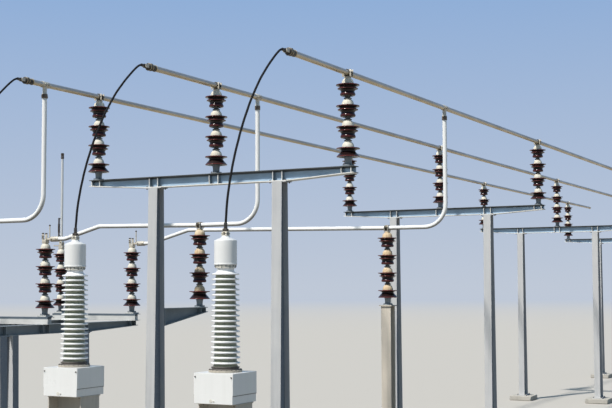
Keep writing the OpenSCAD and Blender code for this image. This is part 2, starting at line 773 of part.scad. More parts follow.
// Blade that stands open on its hub, with its lever and the contact at its tip
module switch_blades() {
    pin_gap = 0.05;
    lever_x = 80;
    lever_z = 140;
    lever_l = 410;
    lever_t = 14;
    link_h = 30;
    color("whitesmoke")
        for (post = hinge_posts) translate(post + [0, 0, stack_h + switch_axis_h]) {
            difference() {
                union() {
                    rotate([90, 0, 0]) cylinder(r = hub_r, h = hub_w, center = true);
                    cylinder(r = blade_r + 2, h = lever_z);
                    cylinder(r = blade_r, h = blade_reach - contact_l + cut);
                }
                rotate([90, 0, 0])
                    cylinder(r = hinge_pin_d / 2 + pin_gap, h = hub_w + 2 * cut, center = true);
            }
            translate([0, 0, blade_reach - contact_l]) rotate_extrude()
                polygon([[0, 0], [contact_r - 6, 0], [contact_r, 6], [contact_r, contact_l - 8],
                         [contact_r - 8, contact_l], [0, contact_l]]);
            translate([-lever_x - lever_t / 2, -22, lever_z]) cube([lever_t, 44, lever_l]);
            for (z = [lever_z, lever_z + lever_l - link_h])
                translate([-lever_x, -12, z]) cube([lever_x, 24, link_h]);
        }
}

module portal_pads() {
    color("lightgray")
        for (portal = portals, side = [-1, 1])
            translate([side * column_pitch / 2 - middle_x, portal_y(portal), 0]) pad(column_pad_w);
}

module stand_pads() {
    color("lightgray") {
        translate([stand_post.x, stand_post.y, 0]) pad(stand_pad_w);
        at_switch_columns() pad(stand_pad_w);
    }
}

module transformer_pads() {
    color("lightgray") at_transformers() pad(transformer_pad_w);
}

module at_transformers() {
    for (phase = phases) translate([phase_x(phase), transformer_y, 0]) children();
}

// Wide H stand under a tank, with its web facing the front
module transformer_stands() {
    shaft_h = tank_base_h - pad_h - 2 * tank_plate_t;
    color("silver") at_transformers() {
        for (z = [pad_h, tank_base_h - tank_plate_t])
            translate([-tank_stand_w / 2 - 10, -tank_stand_d / 2 - 10, z])
                cube([tank_stand_w + 20, tank_stand_d + 20, tank_plate_t]);
        translate([0, 0, pad_h + tank_plate_t]) linear_extrude(shaft_h) {
            square([tank_stand_w, tank_stand_t], center = true);
            for (side = [-1, 1])
                translate([side * (tank_stand_w - tank_stand_t) / 2, 0])
                    square([tank_stand_t, tank_stand_d], center = true);
        }
    }
}

// Welded tank with a flat front, and a seam round the lower third of its other sides
module transformer_tanks() {
    lip = 6;
    seam_h = tank_h * 0.28;
    color("white") at_transformers() {
        translate([-tank_w / 2 + lip, -tank_d / 2, tank_base_h])
            cube([tank_w - 2 * lip, tank_d - lip, tank_h]);
        translate([-tank_w / 2, -tank_d / 2, tank_base_h + seam_h])
            cube([tank_w, tank_d, tank_h - seam_h]);
    }
}

module transformer_turrets() {
    color("wheat") at_transformers()
        translate([0, 0, tank_top_h]) rotate_extrude()
            polygon([[0, 0], [turret_r, 0], [turret_r, 30], [turret_r - 22, 36], [core_base_r + 34, turret_h - 24],
                     [core_base_r + 26, turret_h], [0, turret_h]]);
}

// Tapered porcelain with alternating sheds
module transformer_porcelain() {
    pitch = housing_h / housing_sheds;
    color("gainsboro") at_transformers()
        translate([0, 0, housing_base_h]) rotate_extrude()
            polygon(concat(
                [[0, 0], [core_base_r, 0]],
                [for (shed = [0:housing_sheds - 1])
                    let (z = (shed + 0.5) * pitch,
                         r = core_base_r + (core_top_r - core_base_r) * z / housing_h)
                    each concat([[r, z - 12], [r + shed_out - 16, z - 10]],
                                arc([r + shed_out - 8, z - 2], 8, -80, 60, 4), [[r, z + 24]])],
                [[core_top_r, housing_h], [0, housing_h]]
            ));
}

module transformer_heads() {
    color("white") at_transformers()
        translate([0, 0, head_base_h]) rotate_extrude()
            polygon([[0, 0], [core_top_r + 28, 0], [head_r + 4, head_cone_h], [band_r, head_cone_h],
                     [band_r, head_cone_h + band_h], [head_r, head_cone_h + band_h],
                     [head_r, head_cone_h + head_h], [head_r - 16, head_cone_h + head_h + 8],
                     [60, head_cone_h + head_h + dome_h], [0, head_cone_h + head_h + dome_h]]);
}

module transformer_terminals() {
    color("silver") at_transformers()
        translate([0, 0, dome_base_h + dome_h]) {
            cylinder(r = 38, h = 16);
            cylinder(r = 20, h = terminal_h);
            translate([-30, -30, terminal_h - 44]) cube([60, 60, 44]);
        }
}

// Stranded cable from a busbar's sleeve down to its transformer
module jumper(phase) {
    color("dimgray")
        translate([phase_x(phase), portal_y(0), 0]) rotate([0, 0, -90])
            swept_bar(jumper_route, jumper_d / 2, 8);
}

portal_pads();
stand_pads();
transformer_pads();
portal_columns(0);  // portal_1_columns
portal_crossbeam(0);  // portal_1_crossbeam
portal_porcelain(0);  // portal_1_porcelain
portal_caps(0);  // portal_1_caps
portal_columns(1);  // portal_2_columns
portal_crossbeam(1);  // portal_2_crossbeam
portal_porcelain(1);  // portal_2_porcelain
portal_caps(1);  // portal_2_caps
portal_columns(2);  // portal_3_columns
portal_crossbeam(2);  // portal_3_crossbeam
portal_porcelain(2);  // portal_3_porcelain
portal_caps(2);  // portal_3_caps
portal_columns(3);  // portal_4_columns
portal_crossbeam(3);  // portal_4_crossbeam
portal_porcelain(3);  // portal_4_porcelain
portal_caps(3);  // portal_4_caps
busbar(0);  // busbar_a
busbar(1);  // busbar_b
busbar(2);  // busbar_c
busbar_clamps();
busbar_sleeves();
busbar_end_caps();
tee_connectors();
run(0);  // run_a
run(1);  // run_b
run(2);  // run_c
post_stands();
arm_stand();
post_porcelain();
post_caps();
run_clamps();
switch_columns();
switch_beams();
switch_bases();
switch_jaws();
switch_hinges();
switch_blades();
transformer_stands();
transformer_tanks();
transformer_turrets();
transformer_porcelain();
transformer_heads();
transformer_terminals();
jumper(0);  // jumper_a
jumper(1);  // jumper_b
jumper(2);  // jumper_c
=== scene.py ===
# Outdoor switchgear bay of a substation: busbars on four steel portals, side runs to a
# disconnector whose blades stand open, and instrument transformers fed by jumpers.
import math
import bpy
from mathutils import Matrix, Vector


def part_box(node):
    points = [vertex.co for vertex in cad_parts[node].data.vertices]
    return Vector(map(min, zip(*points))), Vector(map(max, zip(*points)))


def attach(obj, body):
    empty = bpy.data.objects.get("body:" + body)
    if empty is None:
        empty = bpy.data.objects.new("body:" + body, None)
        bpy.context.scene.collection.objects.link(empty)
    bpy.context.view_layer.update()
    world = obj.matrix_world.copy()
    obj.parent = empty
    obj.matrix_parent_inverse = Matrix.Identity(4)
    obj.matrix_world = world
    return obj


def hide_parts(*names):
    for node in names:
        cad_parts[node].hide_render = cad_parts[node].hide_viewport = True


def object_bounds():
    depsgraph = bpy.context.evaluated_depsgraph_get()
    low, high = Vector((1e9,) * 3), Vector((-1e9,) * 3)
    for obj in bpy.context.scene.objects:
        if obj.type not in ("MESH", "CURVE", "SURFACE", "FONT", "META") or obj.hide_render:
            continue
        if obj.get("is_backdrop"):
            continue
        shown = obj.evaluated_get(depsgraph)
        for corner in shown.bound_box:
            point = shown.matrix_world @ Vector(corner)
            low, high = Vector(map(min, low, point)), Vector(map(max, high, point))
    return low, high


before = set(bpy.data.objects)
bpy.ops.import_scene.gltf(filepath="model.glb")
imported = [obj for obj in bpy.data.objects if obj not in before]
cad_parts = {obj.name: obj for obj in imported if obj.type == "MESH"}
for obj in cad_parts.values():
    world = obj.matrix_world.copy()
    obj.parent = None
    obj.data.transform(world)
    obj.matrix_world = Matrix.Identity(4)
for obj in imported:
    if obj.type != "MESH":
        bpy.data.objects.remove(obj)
cad_low, cad_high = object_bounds()
scene = bpy.context.scene
scene.view_settings.view_transform = "Standard"

# Camera: 3.6 m above the floor, right of the bay's front. Its lens, place and turn were fitted
# to points of the photograph, which is 612 pixels wide.
photo_width, focal_pixels, film_width = 612, 1179.22, 36
camera = bpy.data.objects.new("camera", bpy.data.cameras.new("camera"))
scene.collection.objects.link(camera)
camera.data.sensor_width = film_width
camera.data.lens = focal_pixels / photo_width * film_width
camera.data.clip_end = 400
camera.matrix_world = (
    Matrix.Translation((12.4798, -31.6253, 3.6331))
    @ Matrix.Rotation(math.radians(27.8115), 4, "Z")
    @ Matrix.Rotation(math.radians(94.0239), 4, "X")
    @ Matrix.Rotation(math.radians(-0.2207), 4, "Z"))
scene.camera = camera

# Light: one soft sun from the front left, high up, and a blue sky that fills the shadows.
# The camera, gloss and glass see the pale sky, and everything else a dimmer one.
sun = bpy.data.objects.new("sun", bpy.data.lights.new("sun", "SUN"))
scene.collection.objects.link(sun)
sun.data.energy = 3.85
sun.data.color = (1.0, 0.965, 0.9)
sun.data.angle = math.radians(3)
sun.rotation_euler = Vector((0.215, 0.6, -0.771)).to_track_quat("-Z", "Y").to_euler()


def node(tree, kind, inputs=(), **settings):
    """A shader node whose inputs are set, or linked where the value is another one's output"""
    made = tree.nodes.new("ShaderNode" + kind)
    for key, value in settings.items():
        setattr(made, key, value)
    for key, value in dict(inputs).items():
        if isinstance(value, bpy.types.NodeSocket):
            tree.links.new(value, made.inputs[key])
        else:
            made.inputs[key].default_value = value
    return made


def times(tree, a, b):
    return node(tree, "Math", {0: a, 1: b}, operation="MULTIPLY", use_clamp=True).outputs[0]


def plus(tree, a, b):
    return node(tree, "Math", {0: a, 1: b}, operation="ADD", use_clamp=True).outputs[0]


def ramp(tree, value, low, high, **settings):
    """0 up to the low value, and 1 from the high one"""
    return node(tree, "MapRange", {0: value, 1: low, 2: high}, **settings).outputs[0]


def shade(tree, amount, a, b):
    """Colour a where the amount is 0, and b where it is 1"""
    a, b = [(*c, 1) if isinstance(c, tuple) and len(c) == 3 else c for c in (a, b)]
    return node(tree, "Mix", {0: amount, 6: a, 7: b}, data_type="RGBA").outputs[2]


def axes(tree, kind="Object"):
    """X, Y and Z of a point's place, or of the way that its surface faces"""
    return node(tree, "SeparateXYZ", {0: node(tree, "TexCoord").outputs[kind]}).outputs


def seen(tree):
    """1 for what the camera, gloss and glass see, and 0 for the light that falls on the bay"""
    rays = node(tree, "LightPath").outputs
    return plus(tree, plus(tree, rays["Is Camera Ray"], rays["Is Glossy Ray"]), rays["Is Transmission Ray"])


horizon = (0.52, 0.58, 0.68)
sky = bpy.data.worlds.new("sky")
scene.world = sky
sky.use_nodes = True
tree = sky.node_tree
pale = shade(tree, times(tree, axes(tree, "Generated")[2], 4.0), horizon, (0.27, 0.42, 0.68))
lit = node(tree, "Background", {"Color": (0.42, 0.7, 1.0, 1), "Strength": 0.33})
shown = node(tree, "Background", {"Color": pale, "Strength": 1.0})
mixed = node(tree, "MixShader", {0: seen(tree), 1: lit.outputs[0], 2: shown.outputs[0]})
tree.links.new(mixed.outputs[0], tree.nodes["World Output"].inputs[0])

# Floor: plain, pale and level, so that it keeps the bay's shadow. Far out it fades to the sky,
# so that no hard line crosses the picture.
bpy.ops.object.select_all(action="DESELECT")
bpy.ops.mesh.primitive_plane_add(size=900)
floor = bpy.context.object
floor.name = "floor"
floor_paint = bpy.data.materials.new("floor")
floor_paint.use_nodes = True
tree = floor_paint.node_tree
away = node(tree, "VectorMath", {0: node(tree, "TexCoord").outputs["Object"]}, operation="LENGTH")
fade = ramp(tree, away.outputs["Value"], 45.0, 300.0, interpolation_type="SMOOTHSTEP")
base = tree.nodes["Principled BSDF"]
base.inputs["Roughness"].default_value = 0.95
base.inputs["Specular IOR Level"].default_value = 0.1
tree.links.new(shade(tree, seen(tree), (0.3, 0.28, 0.25), (0.6, 0.56, 0.51)), base.inputs["Base Color"])
haze = node(tree, "Emission", {"Color": (*horizon, 1), "Strength": 1.0})
mixed = node(tree, "MixShader", {0: times(tree, fade, seen(tree)), 1: base.outputs[0], 2: haze.outputs[0]})
tree.links.new(mixed.outputs[0], tree.nodes["Material Output"].inputs[0])
floor.data.materials.append(floor_paint)
floor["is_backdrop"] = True


# Jumpers: bare stranded conductor, black with age, that hangs from each busbar's front end
# to the terminal of its transformer. Both ends are crimped into ferrules.
def clear():
    if bpy.context.mode != "OBJECT":
        bpy.ops.object.mode_set(mode="OBJECT")
    bpy.ops.object.select_all(action="DESELECT")


def pick(obj):
    clear()
    obj.select_set(True)
    bpy.context.view_layer.objects.active = obj


def settle(obj):
    pick(obj)
    bpy.ops.object.transform_apply(location=True, rotation=True, scale=True)
    return obj


def join(*parts):
    clear()
    for part in parts:
        part.select_set(True)
    bpy.context.view_layer.objects.active = parts[0]
    bpy.ops.object.join()
    return parts[0]


def fit(obj, name, slot, *nodes, body="bay", angle=38):
    """Names a finished piece, shades it, and fixes it to the bay or the blades"""
    settle(obj)
    obj.name = obj.data.name = name
    bpy.ops.object.shade_smooth_by_angle(angle=math.radians(angle))
    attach(obj, body)
    if nodes:
        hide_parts(*nodes)
    return obj


def paint(obj, material):
    obj.data.materials.clear()
    obj.data.materials.append(material)
    return obj


def close_mesh():
    """Merges the points that meet in the piece at hand, and turns its faces outwards"""
    bpy.ops.object.mode_set(mode="EDIT")
    bpy.ops.mesh.select_all(action="SELECT")
    bpy.ops.mesh.remove_doubles(threshold=0.00002)
    bpy.ops.mesh.normals_make_consistent(inside=False)
    bpy.ops.object.mode_set(mode="OBJECT")
    return bpy.context.object


def turned(outline, steps=48):
    """A round piece spun about Z from its outline of (radius, height) points. Unless the
    outline is a closed one, its ends run level to the middle"""
    if outline[0][0] and outline[0] != outline[-1]:
        outline = [(0, outline[0][1]), *outline, (0, outline[-1][1])]
    clear()
    bpy.ops.mesh.primitive_plane_add(size=0.01)
    bpy.ops.object.mode_set(mode="EDIT")
    bpy.ops.mesh.merge(type="CENTER")
    last = (0.0, 0.0)
    for index, (r, z) in enumerate(outline):
        step = {"value": (r - last[0], 0, z - last[1])}
        if index:
            bpy.ops.mesh.extrude_vertices_move(TRANSFORM_OT_translate=step)
        else:
            bpy.ops.transform.translate(**step)
        last = (r, z)
    bpy.ops.mesh.select_all(action="SELECT")
    bpy.ops.mesh.spin(steps=steps, angle=math.tau, center=(0, 0, 0), axis=(0, 0, 1))
    return close_mesh()


def arc(r, z, radius, start, end, steps=4):
    """Points of an arc round (r, z), from one angle to another"""
    angles = [math.radians(start + (end - start) * i / steps) for i in range(steps + 1)]
    return [(r + radius * math.cos(a), z + radius * math.sin(a)) for a in angles]


def seat(point, way=(0, 0, 1)):
    """Where a piece modelled upright at the middle goes, and which way its top points"""
    return Matrix.Translation(Vector(point)) @ Vector(way).to_track_quat("Z", "Y").to_matrix().to_4x4()


def moved(obj, place):
    obj.data.transform(place)
    return obj


# What rain and years leave on every surface: soft patches, runs along the stretched direction and
# fine speckle. Two more masks take what faces up and what faces down: on most finishes they carry
# dust and grime, on some they carry painted highlight, painted shade or painted light from the ground.
weather = bpy.data.node_groups.new("weather", "ShaderNodeTree")
for label in ("Place", "Stretched"):
    weather.interface.new_socket(label, in_out="INPUT", socket_type="NodeSocketVector")
for label in ("Patches", "Streaks", "Speckle", "Dust", "Grime", "Relief"):
    weather.interface.new_socket(label, in_out="OUTPUT", socket_type="NodeSocketFloat")
given = weather.nodes.new("NodeGroupInput").outputs
result = weather.nodes.new("NodeGroupOutput").inputs


def blotches(place, scale, detail, low, high):
    """Noise of one size, with its contrast raised"""
    noise = node(weather, "TexNoise", {"Vector": place, "Scale": scale, "Detail": detail, "Roughness": 0.6})
    return ramp(weather, noise.outputs[0], low, high)


patches = blotches(given["Place"], 1.6, 7, 0.36, 0.66)
streaks = blotches(given["Stretched"], 1.0, 5, 0.45, 0.7)
speckle = blotches(given["Place"], 55.0, 3, 0.32, 0.7)
up = axes(weather, "Normal")[2]
settled = times(weather, ramp(weather, up, 0.35, 0.95), plus(weather, times(weather, patches, 0.5), 0.5))
soiled = times(weather, ramp(weather, up, -0.05, -0.75), plus(weather, times(weather, speckle, 0.4), 0.6))
uneven = plus(weather, times(weather, speckle, 0.6), times(weather, patches, 0.4))
for mask, socket in zip((patches, streaks, speckle, settled, soiled, uneven), result):
    weather.links.new(mask, socket)


def weathered(name, clean, worn, rough=0.5, metal=0.0, stretch=(9, 9, 0.7), patch=0.5, streak=0.4,
              speck=0.25, dust=0.35, grime=0.4, dusty=(0.62, 0.58, 0.5), grimy=(0.16, 0.14, 0.1),
              relief=0.25, coat=0.0, specular=0.5, sheltered=None):
    """A finish of its own colour that weather has worn, streaked and dulled, with tints on what faces up
    and down. Faces that point along X may take a darker colour: painted shade for shaded, recessed sides"""
    made = bpy.data.materials.new(name)
    made.use_nodes = True
    tree = made.node_tree
    place = node(tree, "TexCoord").outputs["Object"]
    stretched = node(tree, "Mapping", {"Vector": place, "Scale": stretch}).outputs[0]
    wear = node(tree, "Group", node_tree=weather)
    tree.links.new(place, wear.inputs["Place"])
    tree.links.new(stretched, wear.inputs["Stretched"])
    colour = shade(tree, times(tree, wear.outputs["Patches"], patch), clean, worn)
    # Painted shade: faces that point along X take the darker colour.
    if sheltered:
        sideways = node(tree, "Math", {0: axes(tree, "Normal")[0]}, operation="ABSOLUTE").outputs[0]
        colour = shade(tree, times(tree, sideways, 0.9), colour, sheltered)
    streaked = tuple(c * 0.55 for c in worn)
    shares, tints = (streak, speck, dust, grime), (streaked, worn, dusty, grimy)
    for label, share, tint in zip(("Streaks", "Speckle", "Dust", "Grime"), shares, tints):
        colour = shade(tree, times(tree, wear.outputs[label], share), colour, tint)
    dull = node(tree, "MapRange", {0: wear.outputs["Patches"], 3: rough - 0.08, 4: rough + 0.12}).outputs[0]
    bump = node(tree, "Bump", {"Strength": relief, "Distance": 0.004, "Height": wear.outputs["Relief"]})
    shader = tree.nodes["Principled BSDF"]
    for label, value in (("Base Color", colour), ("Roughness", dull), ("Normal", bump.outputs[0])):
        tree.links.new(value, shader.inputs[label])
    labels = ("Metallic", "Coat Weight", "Coat Roughness", "Specular IOR Level")
    for label, value in zip(labels, (metal, coat, 0.12, specular)):
        shader.inputs[label].default_value = value
    return made


def overlay(made, amount, colour):
    """Lays one more colour over a finish, where the mask is"""
    shader = made.node_tree.nodes["Principled BSDF"]
    below = shader.inputs["Base Color"].links[0].from_socket
    made.node_tree.links.new(shade(made.node_tree, amount, below, colour), shader.inputs["Base Color"])


def middle(name):
    low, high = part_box(name)
    return (low + high) / 2


portals = (1, 2, 3, 4)
bus_x = [middle("busbar_" + phase).x for phase in "abc"]
bus_z = middle("busbar_a").z
portal_y = [middle("portal_%d_crossbeam" % portal).y for portal in portals]

jumper_route = [
    (2.06, 7.0), (2.125, 7.0), (2.195, 6.975), (2.27, 6.925), (2.34, 6.87), (2.41, 6.81),
    (2.485, 6.745), (2.555, 6.68), (2.625, 6.61), (2.695, 6.54), (2.76, 6.47), (2.82, 6.395),
    (2.88, 6.32), (2.94, 6.24), (2.995, 6.165), (3.05, 6.085), (3.1, 6.0), (3.15, 5.92),
    (3.2, 5.835), (3.245, 5.75), (3.29, 5.665), (3.33, 5.575), (3.37, 5.49), (3.41, 5.4),
    (3.445, 5.31), (3.48, 5.22), (3.51, 5.125), (3.54, 5.035), (3.565, 4.94), (3.59, 4.845),
    (3.61, 4.75), (3.625, 4.655), (3.635, 4.56), (3.645, 4.475), (3.65, 4.43), (3.65, 4.39)]
jumper_d = 0.032
strands, strand_dip, lay_length = 12, 0.0016, 0.36
ferrule = [(0.0225, 0), (0.024, 0.002), (0.024, 0.022), (0.0215, 0.025), (0.0215, 0.033), (0.024, 0.036),
           (0.024, 0.048), (0.0215, 0.051), (0.0215, 0.059), (0.023, 0.062), (0.0225, 0.07), (0.0175, 0.076)]

strand_black = weathered(
    "strand_black", (0.014, 0.014, 0.016), (0.024, 0.022, 0.022), rough=0.75, stretch=(40, 40, 6), dust=0.12,
    dusty=(0.12, 0.11, 0.1), grime=0.2, grimy=(0.01, 0.01, 0.01), specular=0.12)
ferrule_dark = weathered(
    "ferrule_dark", (0.05, 0.047, 0.045), (0.03, 0.027, 0.024), metal=0.3, stretch=(60, 60, 12), dust=0.2,
    dusty=(0.22, 0.2, 0.18))


def through(points, parts):
    """The points of a smooth line through the given ones, with some more between each two"""
    line = []
    for i in range(len(points) - 1):
        a, b, c = points[max(i - 1, 0)], points[i], points[i + 1]
        d = points[min(i + 2, len(points) - 1)]
        for k in range(parts):
            t = k / parts
            line.append(b + (c - a) * (t / 2) + (2 * a - 5 * b + 4 * c - d) * (t * t / 2)
                        + (3 * b - a - 3 * c + d) * (t ** 3 / 2))
    return line + [points[-1]]


def wire_curve(points, name):
    data = bpy.data.curves.new(name, "CURVE")
    data.dimensions = "3D"
    spline = data.splines.new("POLY")
    spline.points.add(len(points) - 1)
    for own, point in zip(spline.points, points):
        own.co = (*point, 1)
    obj = bpy.data.objects.new(name, data)
    scene.collection.objects.link(obj)
    return obj


def solid_of(curve):
    """The closed mesh of a curve that has a thickness"""
    curve.data.use_fill_caps = True
    pick(curve)
    bpy.ops.object.convert(target="MESH")
    return close_mesh()


for phase, x in zip("abc", bus_x):
    line = through([Vector((x, portal_y[0] - ahead, z)) for ahead, z in jumper_route], 6)
    angles = [math.tau * i / (strands * 4) for i in range(strands * 4)]
    radii = [jumper_d / 2 - strand_dip * abs(math.sin(strands / 2 * a)) for a in angles]
    profile = wire_curve([(r * math.cos(a), r * math.sin(a), 0) for r, a in zip(radii, angles)], "strands")
    profile.data.splines[0].use_cyclic_u = True
    cable = wire_curve(line, "jumper")
    cable.data.bevel_mode = "OBJECT"
    cable.data.bevel_object = profile
    run_length = 0.0
    for i, own in enumerate(cable.data.splines[0].points):
        if i:
            run_length += (line[i] - line[i - 1]).length
        own.tilt = math.tau * run_length / lay_length
    cable = paint(solid_of(cable), strand_black)
    bpy.data.objects.remove(profile)
    fit(cable, "jumper_cable_" + phase, "cable_jacket", "jumper_" + phase, angle=60)
    ends = ((line[0], (0, -1, 0)), (line[-1], (0, 0, 1)))
    ferrules = paint(join(*[moved(turned(ferrule, 32), seat(*end)) for end in ends]), ferrule_dark)
    fit(ferrules, "jumper_ferrules_" + phase, "fitting_metal")
    tuple(line[0])
    [tuple(point) for point in line]


# Pads: concrete cast in a form under every column and stand. The top is trowelled flat and its
# edges are chamfered.
def soften(obj, width, segments=2, angle=38):
    pick(obj)
    edge = obj.modifiers.new("edge", "BEVEL")
    edge.width = width
    edge.segments = segments
    edge.limit_method = "ANGLE"
    edge.angle_limit = math.radians(angle)
    bpy.ops.object.modifier_apply(modifier="edge")
    return obj


def block(low, high, edge=0.003, segments=2):
    """A square piece between two corners, with its edges rounded"""
    low, high = Vector(low), Vector(high)
    clear()
    bpy.ops.mesh.primitive_cube_add(size=1, location=(low + high) / 2, scale=high - low)
    return soften(settle(bpy.context.object), edge, segments)


concrete = weathered(
    "concrete", (0.6, 0.57, 0.52), (0.46, 0.43, 0.38), rough=0.9, stretch=(6, 6, 2), patch=0.7, streak=0.35,
    speck=0.6, dust=0.3, dusty=(0.68, 0.64, 0.57), grime=0.2, relief=0.6, specular=0.2)
pad_height = 0.15


def pad(x, y, width):
    half = width / 2
    cast = block((x - half, y - half, 0), (x + half, y + half, pad_height), edge=0.018, segments=1)
    bpy.ops.object.mode_set(mode="EDIT")
    bpy.ops.mesh.select_all(action="DESELECT")
    bpy.ops.object.mode_set(mode="OBJECT")
    for face in cast.data.polygons:
        face.select = face.normal.z > 0.9
    bpy.ops.object.mode_set(mode="EDIT")
    bpy.ops.mesh.inset(thickness=0.04, depth=0)
    bpy.ops.mesh.inset(thickness=0.004, depth=-0.002)
    bpy.ops.object.mode_set(mode="OBJECT")
    return cast


column_low, column_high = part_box("portal_1_columns")
cap_half = 0.17
column_x = [column_low.x + cap_half, column_high.x - cap_half]
riser_y = [middle("run_" + phase).y for phase in "abc"]
stand_x = middle("post_stands").x
switch_beam_low, switch_beam_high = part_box("switch_beams")
switch_beam_half, switch_reach = 0.1, 1.21
switch_x = [switch_beam_high.x - switch_beam_half, switch_beam_low.x + switch_beam_half]
switch_y = [riser_y[1] - switch_reach, riser_y[1] + switch_reach]
transformer_y = middle("transformer_heads").y
pad_groups = {
    "portal_pads": [(x, y, 0.7) for y in portal_y for x in column_x],
    "stand_pads": [(stand_x, riser_y[2], 0.52)] + [(x, y, 0.52) for x in switch_x for y in switch_y],
    "transformer_pads": [(x, transformer_y, 0.86) for x in bus_x]}
for nodes, places in pad_groups.items():
    pads = paint(join(*[pad(*place) for place in places]), concrete)
    fit(pads, nodes + "_cast", "concrete", nodes)


# Portal columns: tapered H columns welded up from plate and dipped in zinc. Each stands on
# four anchor bolts, and its cap plate is bolted up to the crossbeam.
def keep_mesh(obj):
    mesh = obj.data
    bpy.data.objects.remove(obj)
    return mesh


def at(points):
    return [Matrix.Translation(point) for point in points]


def spread(mesh, places):
    """One piece of many like ones, each a copy of the mesh at its own place"""
    clear()
    for place in places:
        one = bpy.data.objects.new("copy", mesh.copy())
        one.data.transform(place)
        scene.collection.objects.link(one)
        one.select_set(True)
        bpy.context.view_layer.objects.active = one
    bpy.ops.object.join()
    return bpy.context.object


def set_out(obj, points, name, slot, *nodes, **how):
    """Copies a piece to each of the points, and fits the copies as one"""
    return fit(spread(keep_mesh(obj), at(points)), name, slot, *nodes, **how)


def rod(start, end, radius, sides=20, edge=0.0015):
    """A round bar from one point to another, with its rims rounded"""
    start, end = Vector(start), Vector(end)
    clear()
    bpy.ops.mesh.primitive_cylinder_add(vertices=sides, radius=radius, depth=(end - start).length)
    obj = soften(bpy.context.object, edge, 1, 55)
    return moved(obj, seat((start + end) / 2, end - start))


bolt_zinc = weathered(
    "bolt_zinc", (0.15, 0.14, 0.13), (0.075, 0.065, 0.055), metal=0.4, stretch=(80, 80, 30), dust=0.15)
bolt_mesh = keep_mesh(join(
    rod((0, 0, 0), (0, 0, 0.22), 1.05, 12, 0.06), rod((0, 0, 0.2), (0, 0, 0.95), 0.92, 6, 0.08),
    rod((0, 0, 0.9), (0, 0, 1.3), 0.5, 8, 0.08)))


def sized_bolts(places):
    """Bolts with nut and washer, each given by its seat, the way that it points and its size"""
    ways = [seat(point, way) @ Matrix.Scale(size, 4) for point, way, size in places]
    return paint(spread(bolt_mesh, ways), bolt_zinc)


def bolts(places, size):
    return sized_bolts([(point, way, size) for point, way in places])


def four_bolts(x, y, z, across, ahead, way, size):
    """The bolts at the corners of a plate, which point up (1) or down (-1)"""
    return [((x + a * across, y + b * ahead, z), (0, 0, way), size) for a in (-1, 1) for b in (-1, 1)]


def column_bolts(x, y, foot, beam_under, turned_round=False):
    """Anchors on a column's foot plate, and the bolts through its cap plate"""
    foot_reach, cap_reach = (0.12, foot - 0.03), (0.14, 0.07)
    if turned_round:
        foot_reach, cap_reach = foot_reach[::-1], cap_reach[::-1]
    return (four_bolts(x, y, pad_height + 0.025, *foot_reach, 1, 0.022)
            + four_bolts(x, y, beam_under - 0.014, *cap_reach, -1, 0.014)
            + four_bolts(x, y, beam_under + 0.012, *cap_reach, 1, 0.014))


def dress(material, *nodes):
    """Gives a finish to CAD nodes whose shape is right"""
    for name in nodes:
        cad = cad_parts[name]
        if not cad.material_slots:
            cad.data.materials.append(material)
        for own in cad.material_slots:
            own.material = material


def steelwork(name, clean, worn, stretch, **wear):
    """The finish of welded steel, smooth and with broad patches"""
    usual = {"rough": 0.55, "patch": 0.6, "streak": 0.25, "dust": 0.3, "relief": 0.15}
    return weathered(name, clean, worn, stretch=stretch, **{**usual, **wear})


# Faces that point along X, the webs and flange edges, are painted dark slate: painted shade.
column_zinc = steelwork(
    "column_zinc", (0.61, 0.605, 0.6), (0.5, 0.51, 0.53), (14, 14, 0.5), rough=0.6, dust=0.4, grime=0.35,
    sheltered=(0.085, 0.125, 0.175))
dress(column_zinc, *["portal_%d_columns" % portal for portal in portals])
beam_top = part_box("portal_1_crossbeam")[1].z
beam_depth = 0.185
for portal, y in zip(portals, portal_y):
    left, right = [column_bolts(x, y, 0.24, beam_top - beam_depth) for x in column_x]
    fit(sized_bolts(left + right), "portal_%d_bolts" % portal, "column_steel")


# Crossbeams: welded H beams with tapered tips, dipped in zinc that has gone slate blue. Pairs
# of stiffeners stand over the columns and under the insulators. The rims of the flanges are
# painted pale, a painted highlight of their sunlit edges. Faces that point down are painted cream,
# painted light from the ground, and faces that point along X are painted dark, painted shade.
# A dark band is painted along the top, over the top flange and the web just under it; on the
# web it is painted shadow of the flange.
beam_zinc = steelwork(
    "beam_zinc", (0.46, 0.6, 0.74), (0.32, 0.43, 0.54), (3, 3, 8), dusty=(0.6, 0.6, 0.57), grime=0.9,
    grimy=(0.84, 0.78, 0.66), sheltered=(0.11, 0.13, 0.145))
tree = beam_zinc.node_tree
place = axes(tree)
ahead = node(tree, "Math", {0: place[1], 1: portal_y[0]}, operation="SUBTRACT").outputs[0]
aside = node(tree, "Math", {0: ahead, 1: (portal_y[1] - portal_y[0]) / 2}, operation="PINGPONG").outputs[0]
# Painted highlight: the flange rims, beyond 0.07 m from the beam's middle, are painted pale.
overlay(beam_zinc, ramp(tree, aside, 0.07, 0.078), (0.95, 0.92, 0.86))
# Painted shadow: a dark band over the top flange and the web just under it.
overlay(beam_zinc, ramp(tree, place[2], beam_top - 0.046, beam_top - 0.026), (0.085, 0.088, 0.085))
dress(beam_zinc, *["portal_%d_crossbeam" % portal for portal in portals])

